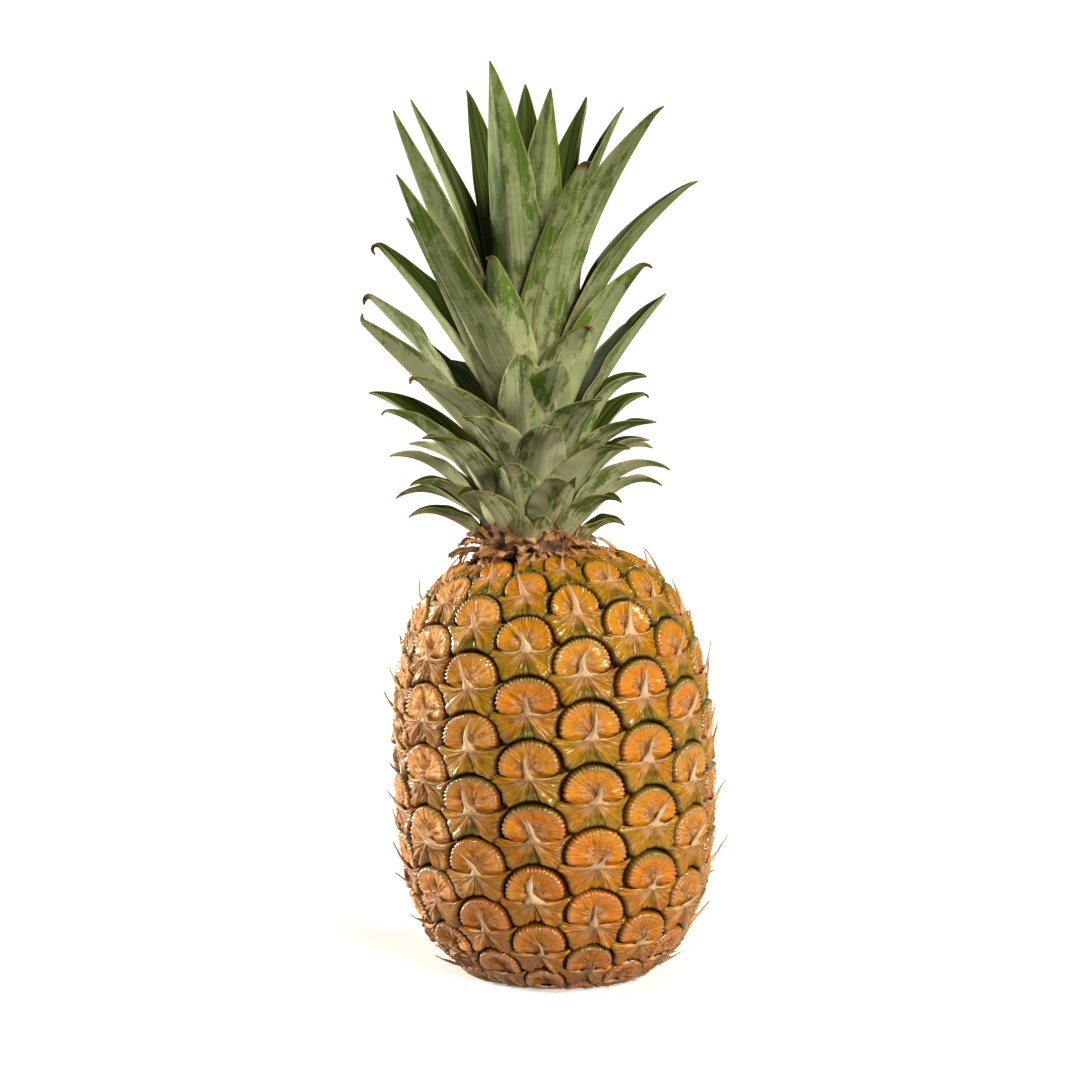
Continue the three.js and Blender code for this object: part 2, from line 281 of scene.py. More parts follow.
# %% [markdown]
# ## The floor
#
# The real ground is cut out to pure white. A pale sheet carries the fruit here, and glows a little, as a lit
# table does, so that it stays white where the shadows fall. It throws no light up onto the rind.

# %% Floor
FLOOR_HALF = 3.0
FLOOR_GLOW = 0.26

floor_finish, _, floor_shader = new_finish("floor_paper")
floor_shader.inputs["Base Color"].default_value = (*shade(246, 246, 246), 1)
floor_shader.inputs["Roughness"].default_value = 0.8
floor_shader.inputs["Emission Color"].default_value = (1, 1, 1, 1)
floor_shader.inputs["Emission Strength"].default_value = FLOOR_GLOW
floor_mesh = bpy.data.meshes.new("floor")
floor_corners = [(-FLOOR_HALF, -FLOOR_HALF, 0), (FLOOR_HALF, -FLOOR_HALF, 0),
                 (FLOOR_HALF, FLOOR_HALF, 0), (-FLOOR_HALF, FLOOR_HALF, 0)]
floor_mesh.from_pydata(floor_corners, [], [(0, 1, 2, 3)])
floor_mesh.materials.append(floor_finish)
floor = bpy.data.objects.new("floor", floor_mesh)
floor.visible_diffuse = False
bpy.context.scene.collection.objects.link(floor)
print("floor corners in metres:", floor_corners)

# %% [markdown]
# ## The lights
#
# Three soft lamps. The strongest stands low on the left and a little behind, and rakes over the dry side.
# One in front fills the middle of the fruit. A small one on the upper right makes the sparkles on the rims
# of the eyes. An even, dim world fills the grooves, and shows as white to the camera alone.

# %% Lights
LAMP_COLOR = (1.0, 0.975, 0.91)
WORLD_COLOR = (1.0, 0.95, 0.87, 1)


def far_light(name, towards, power, spread):
    """A light so far off that it falls evenly on fruit and floor; its spread in degrees softens shadows."""
    data = bpy.data.lights.new(name, "SUN")
    data.energy = power
    data.color = LAMP_COLOR
    data.angle = math.radians(spread)
    light = bpy.data.objects.new(name, data)
    x, y, z = towards
    light.rotation_euler = (math.atan2(math.hypot(x, y), z), 0, math.atan2(y, x) + math.pi / 2)
    bpy.context.scene.collection.objects.link(light)


far_light("left_window", (-1.0, 0.45, 0.24), 8.2, 20)
far_light("front_lamp", (0.4, -1.0, 0.4), 3.25, 18)
far_light("right_lamp", (1.0, -0.45, 0.75), 2.3, 14)


def studio_world(fill, ground):
    """A white ground for the camera, and a dimmer, even fill for the surfaces."""
    world = bpy.data.worlds.new("studio")
    world.use_nodes = True
    tree = world.node_tree
    values = Value(tree)
    seen = values.node("ShaderNodeLightPath", output=0)
    power = seen * (ground - fill) + fill
    background = tree.nodes["Background"]
    background.inputs["Color"].default_value = WORLD_COLOR
    tree.links.new(power.socket, background.inputs["Strength"])
    return world


bpy.context.scene.world = studio_world(fill=0.2, ground=1.25)
bpy.context.scene.view_settings.view_transform = "Standard"
print("lights:", [item.name for item in bpy.data.lights])

# %% [markdown]
# ## The fruit's form
#
# A pineapple is a spike of 145 small fruits, grown together round a core. Each shows as one eye. They
# follow one spiral, and the eye reads that spiral as rows: 7 one way, 9 the other, 16 nearly upright. The
# body is a bent superellipse, and any point of the skin has an azimuth, a count of eyes up the spiral and a
# relief above the grooves, as in the solids.

# %% Driving sizes of the fruit, as the solids have them
FRUIT_RADIUS = 59.0
WIDEST_HEIGHT = 73.3
SHOULDER_RISE = 87.5
BASE_DROP = 79.5
SHOULDER_POWER = 2.9
BASE_POWER = 2.65
SWAY = -0.00026
RELIEF = 3.2
EYE_TURN = 202.49
EYE_PITCH = 22.9
UPRIGHT_ROWS = 16
FACING_AZIMUTH = -8.9
FACING_RISE = 10.0
SHRINK_POWER = 0.15
FLATTEN_POWER = 0.5
NECK_RADIUS = 22.0
FOOT_RADIUS = 17.0
CROWN_SEAT = 156.5
CROWN_AXIS = -10.5
STEM_RADIUS = 19.0
STALK_RADIUS = 12.5
STALK_DEPTH = 6.0
GAP = 0.3
EYE_RISE = EYE_PITCH / UPRIGHT_ROWS
DEGREES_PER_MM = 1 / (FRUIT_RADIUS * math.pi / 180)


def fruit_outline():
    """Stations on the superellipse |r/R|^n + |z/h|^n = 1, with the count of eyes below each."""
    angle = np.pi * (np.arange(1, 2000) / 2000 - 0.5)
    above = angle > 0
    power = 2 / np.where(above, SHOULDER_POWER, BASE_POWER)
    rise = np.sign(angle) * np.where(above, SHOULDER_RISE, BASE_DROP) * np.abs(np.sin(angle)) ** power
    radius, height = FRUIT_RADIUS * np.cos(angle) ** power, WIDEST_HEIGHT + rise
    run = np.hypot(np.diff(radius, prepend=radius[0]), np.diff(height, prepend=height[0]))
    travel = np.cumsum(run)
    count = np.cumsum(run / (EYE_RISE * (radius / FRUIT_RADIUS) ** SHRINK_POWER))
    facing = travel[np.argmax(height >= WIDEST_HEIGHT)] + FACING_RISE
    return radius, height, count - count[np.argmax(travel >= facing)]


STATION_RADIUS, STATION_HEIGHT, STATION_COUNT = fruit_outline()
SLOPE = np.arctan2(np.gradient(STATION_HEIGHT), np.gradient(STATION_RADIUS))


def skin_point(azimuth, count, relief):
    """Out from the outline by the relief, turned by the azimuth, on sections square to the bent axis."""
    radius = np.interp(count, STATION_COUNT, STATION_RADIUS)
    height = np.interp(count, STATION_COUNT, STATION_HEIGHT)
    out_way = np.sin(np.interp(count, STATION_COUNT, SLOPE))
    up_way = -np.cos(np.interp(count, STATION_COUNT, SLOPE))
    proud = relief * (radius / FRUIT_RADIUS) ** FLATTEN_POWER - RELIEF
    out, up = radius + proud * out_way, height + proud * up_way
    aside, ahead = out * np.sin(np.radians(azimuth)), out * np.cos(np.radians(azimuth))
    return np.stack([aside + SWAY * up**2, -ahead, up - 2 * SWAY * up * aside], -1)


EYES = np.arange(math.ceil(STATION_COUNT[np.argmax(STATION_RADIUS > FOOT_RADIUS)]),
                 math.floor(STATION_COUNT[::-1][np.argmax(STATION_RADIUS[::-1] > NECK_RADIUS)]) + 1)
print("eyes:", len(EYES), "from count", EYES[0], "to", EYES[-1])


def on_fruit(eye, x, y, relief, lowest):
    """Flat points of eyes, in mm at the widest section, put on the fruit and kept off the floor."""
    azimuth = FACING_AZIMUTH + eye * EYE_TURN + x * DEGREES_PER_MM
    points = skin_point(azimuth, eye + y / EYE_RISE, relief)
    points[..., 2] = np.maximum(points[..., 2], lowest)
    return points


# %% [markdown]
# ## Eye caps
#
# The upper part of an eye is a glossy cap of three sepals: a fan with a low middle, and a swollen rim that
# is gathered into beads where it turns down into the groove. Displacing one smooth body by a picture would
# blur the rims, so each cap is its own polar grid, with its columns where the beads are.

# %% Cap shape
CAP_HALF_WIDTH = 12.0
CAP_HEIGHT = 10.4
CAP_FOOT = 5.4
CAP_MIDDLE = 2.2
CAP_POWER = 2.15
BEADS = 27
BEAD_SPAN = 226.0  # degrees of the rim that show
CAP_SHARES = np.array([0.07, 0.17, 0.28, 0.4, 0.52, 0.63, 0.73, 0.81, 0.88, 0.94, 0.99, 1.04, 1.1])


def cap_rim(turn):
    """Distance from the middle to the rim in direction turn: a superellipse, taller above than below."""
    side, rise = np.cos(turn) / CAP_HALF_WIDTH, np.sin(turn)
    rise = rise / np.where(rise > 0, CAP_HEIGHT, CAP_FOOT)
    return (np.abs(side) ** CAP_POWER + np.abs(rise) ** CAP_POWER) ** (-1 / CAP_POWER)


def cap_turns():
    """Three columns a bead over the rim that shows, and a few below, where the bract covers it."""
    shown = np.linspace(90 - BEAD_SPAN / 2, 90 + BEAD_SPAN / 2, 3 * BEADS + 1)
    hidden = np.linspace(90 + BEAD_SPAN / 2, 450 - BEAD_SPAN / 2, 10)[1:-1]
    return np.radians(np.concatenate([shown, hidden]))


def dryness(eye):
    """How dry an eye is, from 0 to 1: the fruit's left side dried in the sun, some eyes more than others."""
    azimuth = np.radians(FACING_AZIMUTH + np.asarray(eye) * EYE_TURN)
    return np.clip(smooth(-np.sin(azimuth), 0.48, 1.0) + 0.25 * wobble(eye, 33), 0, 1)


def bead_wave(eye, turn):
    """From 0 to 1 over each bead of the rim. Noise in the phase makes the beads uneven."""
    around = np.degrees(turn) - 90
    phase = around * BEADS / BEAD_SPAN + 0.35 * grain(around / 16, 3.0 * eye, 61)
    return 0.5 + 0.5 * np.cos(2 * np.pi * phase)


def cap_relief(eye, turn, share, x, y):
    """A dome with a sunk navel, a valley down its middle, wrinkles, beads at the rim, and its rolled edge."""
    dry = dryness(eye)
    from_foot = np.mod(np.degrees(turn) + 90, 360)
    above = smooth(np.sin(turn), -0.45, 0.1)
    navel = (1.4 + 0.6 * wobble(eye, 21)) * bump_at(share, 0, 0.36)
    valley_turn = 90 + 30 * wobble(eye, 23) + 24 * wobble(eye, 24) * share
    valley = (0.22 + 0.22 * wobble(eye, 22)) * bump_at(np.degrees(turn), valley_turn, 14)
    valley = valley * smooth(share, 0.05, 0.2) * (1 - smooth(share, 0.45, 0.8))
    pleats = grain(from_foot / 15, 2.2 * share + 7 * eye, 62)
    pleats = pleats + 0.6 * grain(from_foot / 7, 3 * share + 5 * eye, 63)
    pleats = (0.3 + 0.4 * dry) * pleats * smooth(share, 0.02, 0.2) * (1 - 0.45 * smooth(share, 0.5, 0.8))
    crumple = grain(x / 2.4 + 9 * eye, y / 2.4, 64) + 0.6 * grain(x / 1.3 + 9 * eye, y / 1.3, 65)
    crumple = (0.42 + 0.15 * dry) * crumple * (1 - (0.7 - 0.4 * dry) * smooth(share, 0.4, 0.7))
    beads = (1.0 + 0.3 * wobble(eye, 27)) * bead_wave(eye, turn) ** 0.8 * above
    beads = beads * smooth(share, 0.74, 0.88) * (1 - smooth(share, 0.98, 1.05))
    rim = 0.4 * bump_at(share, 0.8, 0.16) * above
    foot = 1.7 * smooth(-y, -1.2, 2.2)
    rolled = 4.0 * smooth(share, 0.87, 1.08)
    return 3.0 - navel - valley + pleats + crumple + beads + rim - foot - rolled


def cap_points(eye, turn, share, lowest):
    """Polar points about each eye's middle, turned and sized a little differently for each eye."""
    rim = cap_rim(turn) * (1.005 + 0.02 * wobble(eye, 11) + 0.02 * np.sin(3 * turn + 3 * wobble(eye, 12)))
    rim = rim * (1 + 0.02 * (bead_wave(eye, turn) - 0.5) * smooth(share, 0.6, 0.9))
    x = share * rim * np.cos(turn) + 0.35 * wobble(eye, 13)
    y = share * rim * np.sin(turn) + CAP_MIDDLE + 0.3 * wobble(eye, 14)
    lean = 0.07 * wobble(eye, 15)
    return on_fruit(eye, x - lean * y, y + lean * x, cap_relief(eye, turn, share, x, y), lowest)


def cap_mesh(eyes):
    """Every cap: its middle point, then rings of points from the navel to the rim."""
    turns = cap_turns()
    eye, share, turn = np.meshgrid(eyes, CAP_SHARES, turns, indexing="ij")
    rings = cap_points(eye, turn, share, 0.1)
    middles = cap_points(eyes, np.full(len(eyes), 1.0), np.zeros(len(eyes)), 0.1)
    each = 1 + len(CAP_SHARES) * len(turns)
    points = np.concatenate([middles[:, None], rings.reshape(len(eyes), -1, 3)], 1).reshape(-1, 3)
    # The fan closes the middle, between its point and the first ring.
    column = np.arange(len(turns))
    fan = np.stack([np.zeros_like(column), 1 + column, 1 + (column + 1) % len(turns)], -1)
    # Rows run outwards and columns anticlockwise, seen from outside.
    rows = grid_faces(len(CAP_SHARES), len(turns), closed=True)[:, ::-1] + 1
    values = {
        "share": with_first(share, 0.0, len(eyes)),
        "turn": with_first(np.degrees(turn) / 360, 0.25, len(eyes)),
        "bead": with_first(bead_wave(eye, turn), 0.5, len(eyes)),
        "eye": np.repeat(0.5 + 0.5 * wobble(eyes, 31), each),
        "dry": np.repeat(dryness(eyes), each),
    }
    return points, [repeated(fan, len(eyes), each), repeated(rows, len(eyes), each)], values


print("cap: ", len(cap_turns()), "columns and", len(CAP_SHARES), "rings")

# %% [markdown]
# ## Cap finish
#
# A ripe cap has a golden ring that browns towards the groove and is often still green along its top, round
# a dull, tan and cracked middle. The wax is on the ring and the beads alone, so that they sparkle and the
# middle doesn't. Stretched noise in the cap's own polar coordinates gives the fine radial lines, and noise
# over the whole fruit makes some eyes riper than others.

# %% Cap material
def along_axis(values, axis):
    """A point's place in metres along an axis: 0 is x, 1 is y and 2 is up."""
    place = values.node("ShaderNodeTexCoord", output=3)
    return values.node("ShaderNodeSeparateXYZ", inputs={0: place}, output=axis)


def foot_mask(values):
    """1 up to 12 mm above the table, and 0 from 85 mm up."""
    return along_axis(values, 2).step(0.085, 0.012)


def shoulder_mask(values):
    """0 up to 112 mm above the table, and 1 from 155 mm up."""
    return along_axis(values, 2).step(0.112, 0.155)


def right_mask(values):
    """0 on the fruit's left half, and 1 from 50 mm right of the middle."""
    return along_axis(values, 0).step(0.0, 0.05)


def blotches(values):
    """Noise so broad that it takes in several eyes."""
    return noise(values, 30.0, 2.0)


def cap_material():
    """Layers from ripe colour up: spots, ring, painted glints, green top, tan middle, dryness, painted edge
    shade.
    """
    finish, values, principled = new_finish("eye_cap")
    low, high, right = foot_mask(values), shoulder_mask(values), right_mask(values)
    share, turn, eye = stored(values, "share"), stored(values, "turn"), stored(values, "eye")
    bead, dry = stored(values, "bead"), stored(values, "dry")
    streaks = noise(values, 1.0, 3.0, place_of(values, turn * 70.0, share * 1.8, eye * 70.0))
    spots = noise(values, 230.0, 4.0, roughness=0.65)
    fine = noise(values, 1100.0, 3.0)
    ripe = (blotches(values) + eye * 0.3 - 0.15).step(0.38, 0.62)
    color = ripe.mix(shade(192, 126, 0), shade(202, 112, 0))
    color = (spots.step(0.58, 0.7) * (0.15 + low * 0.5)).mix(color, shade(206, 76, 0))
    color = (low * 0.35).mix(color, shade(212, 92, 0))
    # Yellower and darker towards the shoulder: the darkening is painted shade.
    color = (high * 0.5).mix(color, shade(172, 118, 2))
    color = (streaks.step(0.48, 0.66) * (0.1 + 0.5 * spots)).mix(color, shade(150, 76, 0))
    ring = share.step(0.68, 0.97)
    gold = share.step(0.45, 0.62) * (1 - share.step(0.78, 0.92)) * (0.3 + 0.7 * spots)
    color = (gold * 0.6).mix(color, shade(206, 130, 0))
    color = (ring * 0.4).mix(color, shade(136, 82, 0))
    # Painted glints: a lighter yellow on the tops of the beads near the rim.
    painted_glint = bead.step(0.62, 0.95) * share.step(0.76, 0.9) * (1 - share.step(0.95, 1.02))
    color = (painted_glint * 0.4).mix(color, shade(226, 160, 20))
    upper = 1 - abs(turn - 0.25).step(0.07, 0.24)
    green = ring * upper * (eye * 1.1 + high * 0.5 + right * 0.5 - low * 0.4 - 0.05).step(0.3, 0.9)
    color = (green * 0.85).mix(color, shade(84, 92, 4))
    brushed = noise(values, 1.0, 5.0, place_of(values, turn * 28.0, share * 7.0, eye * 90.0), 0.7)
    navel = (1 - (share + spots * 0.5).step(0.55, 0.86)) * (0.45 + 0.9 * spots)
    tan = brushed.step(0.36, 0.64).mix(shade(214, 160, 106), shade(168, 104, 48))
    color = navel.mix(color, tan)
    crack = (1 - (share + 0.3 * spots).step(0.2, 0.75)) * brushed.step(0.56, 0.68)
    color = (crack * 0.8).mix(color, shade(88, 42, 18))
    parched = dry * (0.35 + 0.65 * streaks.step(0.35, 0.6))
    color = (parched * 0.7).mix(color, shade(210, 154, 92))
    color = (dry * spots.step(0.52, 0.66) * 0.6).mix(color, shade(124, 62, 22))
    # Painted shade: darker brown in the dips between the beads of the rim.
    shade_between_beads = (1 - bead.step(0.05, 0.5)) * share.step(0.78, 0.95)
    color = (shade_between_beads * 0.4).mix(color, shade(92, 44, 0))
    # Painted shade: dark brown where the cap rolls down into the groove.
    color = share.step(0.885, 1.02).mix(color, shade(40, 18, 1))
    roughness = 0.42 + (1 - share.step(0.3, 0.8)) * 0.2 + fine * 0.1
    wax = share.step(0.5, 0.85) * (0.5 + 0.8 * spots) * (1 - 0.6 * dry) + 0.03
    height = streaks * 0.3 + brushed * 0.5 + spots * (0.25 + 0.6 * dry) + fine * 0.1
    wear(values, principled, color, roughness, height, 0.0015, gloss=0.12, wax=wax)
    return finish


cap_finish = cap_material()
print("nodes of the cap's finish:", len(cap_finish.node_tree.nodes))

# %% [markdown]
# The lower and the upper eyes are separate pieces, only to keep each mesh light enough to save whole.

# %% Make the caps, in two pieces
HALF_WAY = len(EYES) // 2

for part, chosen in {"eye_caps_low": EYES[:HALF_WAY], "eye_caps_high": EYES[HALF_WAY:]}.items():
    cap_places, cap_faces, cap_values = cap_mesh(chosen)
    make_piece(part, cap_places, cap_faces, cap_finish, "fruit", cap_values)

# %% [markdown]
# ## Bracts
#
# Below each cap is its bract, a small leaf that has grown fleshy at its foot. It fills what the caps around
# it leave free, which is why it looks like a bat with spread wings: two wings beside its own cap, and two
# points between the caps below. So its outline isn't drawn. It is found by going out from its root in each
# direction until a neighbour's cap is met.

# %% Bract outline
BRACT_ROOT = np.array([0.0, -1.0])
BRACT_SPAN = (172.0, 368.0)  # degrees, from the left wing under the root to the right wing
BRACT_COLUMNS = 65
BRACT_SHARES = np.array([0.05, 0.14, 0.26, 0.4, 0.54, 0.67, 0.78, 0.87, 0.94, 1.0, 1.06])
WING_REACH = 15.7
POINT_REACH = 14.3
CAP_MARGIN = 0.2
NEIGHBOURS = (-16, -9, -7, 7, 9, -2, 2)  # eyes that lie next to an eye, by their count up the spiral


def row_step(count):
    """Where the eye that is this count further up the spiral lies, on the flat."""
    return ((count * EYE_TURN + 180) % 360 - 180) / DEGREES_PER_MM, count * EYE_RISE


def bract_reach(turn):
    """The shorter of a limit, which is wider at the wings, and the way to the nearest neighbour's cap."""
    furthest = POINT_REACH + (WING_REACH - POINT_REACH) * smooth(np.abs(np.degrees(turn) - 270), 60, 88)
    far = np.linspace(3, WING_REACH, 300)
    x = BRACT_ROOT[0] + far * np.cos(turn)[:, None]
    y = BRACT_ROOT[1] + far * np.sin(turn)[:, None]
    free = np.ones(x.shape, bool)
    for neighbour in NEIGHBOURS:
        across, up = row_step(neighbour)
        dx, dy = x - across, y - up - CAP_MIDDLE
        free &= np.hypot(dx, dy) > cap_rim(np.arctan2(dy, dx)) + CAP_MARGIN
    blocked = np.argmax(~free, axis=1)
    return np.minimum(furthest, np.where(free.all(axis=1), WING_REACH, far[blocked]))


BRACT_TURNS = np.radians(np.linspace(*BRACT_SPAN, BRACT_COLUMNS))
BRACT_REACH = bract_reach(BRACT_TURNS)
print("shortest and longest reach of a bract in mm:", BRACT_REACH.min().round(1), BRACT_REACH.max().round(1))

# %% [markdown]
# A bract stands highest at its root and falls away to its edge, with two folds that run down from the root.
# Its skin is drawn into lines towards the root, and gathered where the edge turns under. The relief is a sum
# of those forms over the bract's own polar grid, with a little difference in each for each eye.

# %% Bract shape
FOLDS = (-31.0, 29.0)  # degrees from straight down


def bract_relief(eye, turn, share):
    """High at the root, two folds with a sunk middle, lines from the root, gathered and rolled edges."""
    dry = dryness(eye)
    down = np.degrees(turn) - 270
    folds = sum(bump_at(down, fold + 8 * wobble(eye, 40 + k), 6) for k, fold in enumerate(FOLDS))
    creases = sum(bump_at(down, fold * 0.55 + 9 * wobble(eye, 46 + k), 3.2) for k, fold in enumerate(FOLDS))
    sunk = 0.7 * (1 + 0.6 * wobble(eye, 42)) * (1 - smooth(np.abs(down), 12, 26)) * smooth(share, 0.1, 0.4)
    lines = grain(down / 9, 2.2 * share + 7 * eye, 66) + 0.7 * grain(down / 4.4, 2.6 * share + 5 * eye, 67)
    lines = (0.34 + 0.7 * dry) * lines * smooth(share, 0.06, 0.3)
    lines = lines + 0.22 * grain(share * 9 + 3 * eye, down / 14, 69) * smooth(share, 0.1, 0.4)
    ribs = 0.55 * np.abs(np.sin(np.radians(down) * 15 + 1.5 * grain(down / 12, eye, 68)))
    ribs = ribs * smooth(share, 0.6, 0.85) * (1 - smooth(share, 0.98, 1.05))
    wing = smooth(np.abs(down), 60, 95)
    slope = 3.5 - (0.7 + 0.4 * wing) * share**1.4
    rolled = 3.6 * smooth(share, 0.9, 1.06)
    under = 1.5 * (1 - smooth(98 - np.abs(down), 0, 3.6)) * smooth(share, 0.05, 0.3)
    folds = 0.5 * folds * smooth(share, 0.05, 0.3) - 0.7 * creases * smooth(share, 0.12, 0.4)
    return slope + folds - sunk + lines + ribs - rolled - under


def bract_points(eye, turn, reach, share):
    """Out from the root by share of the reach. The upper edge hangs in two curves below the cap."""
    down = np.abs(np.degrees(turn) - 270)
    hang = 1.4 * np.sin(np.pi * np.clip(share, 0, 1)) * smooth(down, 60, 98)
    x = BRACT_ROOT[0] + share * reach * np.cos(turn) + 0.35 * wobble(eye, 13) * (1 - share)
    y = BRACT_ROOT[1] + share * reach * np.sin(turn) - hang + 0.3 * wobble(eye, 14) * (1 - share)
    return on_fruit(eye, x, y, bract_relief(eye, turn, share), 0.2)


def bract_mesh(eyes):
    """Every bract: its root point, then arcs of points from the root to its edge."""
    eye, share, turn = np.meshgrid(eyes, BRACT_SHARES, BRACT_TURNS, indexing="ij")
    reach = np.broadcast_to(BRACT_REACH, eye.shape)
    arcs = bract_points(eye, turn, reach, share)
    none = np.zeros(len(eyes))
    root = bract_points(eyes, none + 1.5 * np.pi, none, none)
    columns = len(BRACT_TURNS)
    each = 1 + len(BRACT_SHARES) * columns
    points = np.concatenate([root[:, None], arcs.reshape(len(eyes), -1, 3)], 1).reshape(-1, 3)
    column = np.arange(columns - 1)
    fan = np.stack([np.zeros_like(column), 1 + column, 2 + column], -1)
    rows = grid_faces(len(BRACT_SHARES), columns)[:, ::-1] + 1
    values = {
        "share": with_first(share, 0.0, len(eyes)),
        "down": with_first((np.degrees(turn) - 270) / 100, 0.0, len(eyes)),
        "eye": np.repeat(0.5 + 0.5 * wobble(eyes, 31), each),
        "dry": np.repeat(dryness(eyes), each),
    }
    return points, [repeated(fan, len(eyes), each), repeated(rows, len(eyes), each)], values


print("bract: ", len(BRACT_TURNS), "columns and", len(BRACT_SHARES), "arcs")

# %% [markdown]
# ## Bract finish
#
# A bract is mustard yellow where it is fleshy, olive at its rim, green low in the middle on the upper eyes,
# and dry and pale tan where it narrows to its root. Brown and light veins run out from the root. Its edges
# are painted dark as shade where they turn down into the groove, which is what draws the outline of each eye.

# %% Bract material
def bract_material():
    """Layers from ripe colour up: low eyes, greens, spots, pale root, veins, dryness, painted edge shade."""
    finish, values, principled = new_finish("bract_skin")
    low, high, right = foot_mask(values), shoulder_mask(values), right_mask(values)
    share, down, eye = stored(values, "share"), stored(values, "down"), stored(values, "eye")
    dry = stored(values, "dry")
    streaks = noise(values, 1.0, 4.0, place_of(values, down * 30.0, share * 1.6, eye * 50.0))
    veins = noise(values, 1.0, 3.0, place_of(values, down * 75.0, share * 3.2, eye * 90.0))
    spots = noise(values, 260.0, 4.0, roughness=0.65)
    fine = noise(values, 900.0, 4.0)
    ripe = (blotches(values) + eye * 0.2 - 0.1).step(0.38, 0.62)
    color = ripe.mix(shade(178, 126, 0), shade(192, 118, 0))
    color = (low * 0.5).mix(color, shade(200, 92, 8))
    sides = abs(down)
    middle = (1 - sides.step(0.12, 0.5)) * share.step(0.2, 0.6)
    green = middle * (eye * 0.9 + high * 0.9 - low * 0.5 + 0.15).step(0.2, 0.8)
    color = (green * 0.9).mix(color, shade(84, 88, 4))
    rim_green = share.step(0.55, 0.9) * (0.3 + high * 0.5 + right * 0.2 + eye * 0.3)
    color = (rim_green * 0.9).mix(color, shade(120, 104, 0))
    color = (spots.step(0.52, 0.68) * 0.45).mix(color, shade(214, 156, 30))
    pale = (1 - share.step(0.15, 0.75)) * (0.35 + 1.1 * spots) + low * 0.25 + dry * 0.5
    color = (pale.step(0.3, 0.85) * 0.85).mix(color, shade(212, 158, 102))
    color = (streaks.step(0.5, 0.64) * 0.5).mix(color, shade(136, 80, 10))
    color = (veins.step(0.54, 0.64) * 0.75).mix(color, shade(84, 40, 8))
    color = ((1 - veins.step(0.32, 0.42)) * 0.45).mix(color, shade(232, 186, 76))
    color = (dry * streaks.step(0.44, 0.6) * 0.7).mix(color, shade(112, 54, 28))
    # Painted shade: dark brown where the bract's edge turns down into the groove.
    color = share.step(0.82, 1.0).mix(color, shade(42, 22, 1))
    roughness = 0.45 + fine * 0.15
    wax = share.step(0.35, 0.85) * (0.2 + 0.5 * spots) * (1 - 0.6 * dry) + 0.04
    phase = down * 52.0 + spots * 3.0
    wave = phase.math("SINE", phase) * share.step(0.5, 0.85)
    height = streaks * 0.4 + veins * 0.3 + spots * 0.2 + wave * 0.08
    wear(values, principled, color, roughness, height, 0.0016, gloss=0.12, wax=wax)
    return finish


bract_finish = bract_material()
print("nodes of the bract's finish:", len(bract_finish.node_tree.nodes))

# %% [markdown]
# All the bracts are one piece, as they are all of one kind and light enough together.

# %% Make the bracts
bract_places, bract_faces, bract_values = bract_mesh(EYES)
make_piece("bracts", bract_places, bract_faces, bract_finish, "fruit", bract_values)

# %% [markdown]
# ## Papery tips
#
# The end of each bract dies early. It stands in front of the cap as a papery spike, on each fruit a little
# different, and its torn edge runs on to both sides as a cream lip. Each is a thin closed sheet: a ring of
# points that is carried along a curved path and flattened.

# %% Spike shape
SPIKE_STEPS = 10
SPIKE_RING = 8
LIP_STEPS = 13
LIP_RING = 4


def along_and_round(eyes, steps, ring):
    """For each eye, each step's share of the way and each corner of the ring, as arrays of one shape."""
    return np.meshgrid(eyes, np.linspace(0, 1, steps), np.arange(ring), indexing="ij")


def spike_points(eyes):
    """A flattened ring along a curve that rises from the root, leans aside and narrows to a point."""
    eye, share, corner = along_and_round(eyes, SPIKE_STEPS, SPIKE_RING)
    high = smooth(eye / EYES[-1], 0.35, 1.0)
    length = 8.4 * (1 + 0.3 * wobble(eye, 1)) + 3.5 * high
    length = np.where(wobble(eye, 5) > 0.6, 0.45 * length, length)
    aside = 1.6 * wobble(eye, 2) + 3.2 * wobble(eye, 6)
    tip_relief = 7.4 * (1 + 0.25 * wobble(eye, 3)) + 2.5 * high
    angle = 2 * np.pi * corner / SPIKE_RING + 0.7 * wobble(eye, 7) * share
    half = (1.6 + 0.9 * wobble(eye, 8)) * (1 - share) ** 0.85 + 1.7 * (1 - smooth(share, 0, 0.3)) + 0.12
    ragged = 0.2 * np.sin(11 * share + 3 * wobble(eye, 9)) + 0.25 * grain(5 * share + 7 * eye, corner, 90)
    half = half * (1 + ragged)
    thick = 0.5 * (1 - 0.6 * share)
    curl = 1.8 * wobble(eye, 4) * np.sin(np.pi * share)
    fold = 0.75 * half * np.abs(np.cos(angle)) * smooth(share, 0, 0.2)
    x = 0.35 * wobble(eye, 13) * (1 - share) + aside * share**1.3 + curl + half * np.cos(angle)
    y = -1.8 + (length + 1.8) * share - 0.5 * (1 - smooth(share, 0, 0.3)) * np.abs(np.cos(angle))
    relief = 3.1 + (tip_relief - 3.1) * share**0.85 + thick * np.sin(angle) - fold
    return on_fruit(eye, x, y, relief, 0.3), share, np.cos(angle)


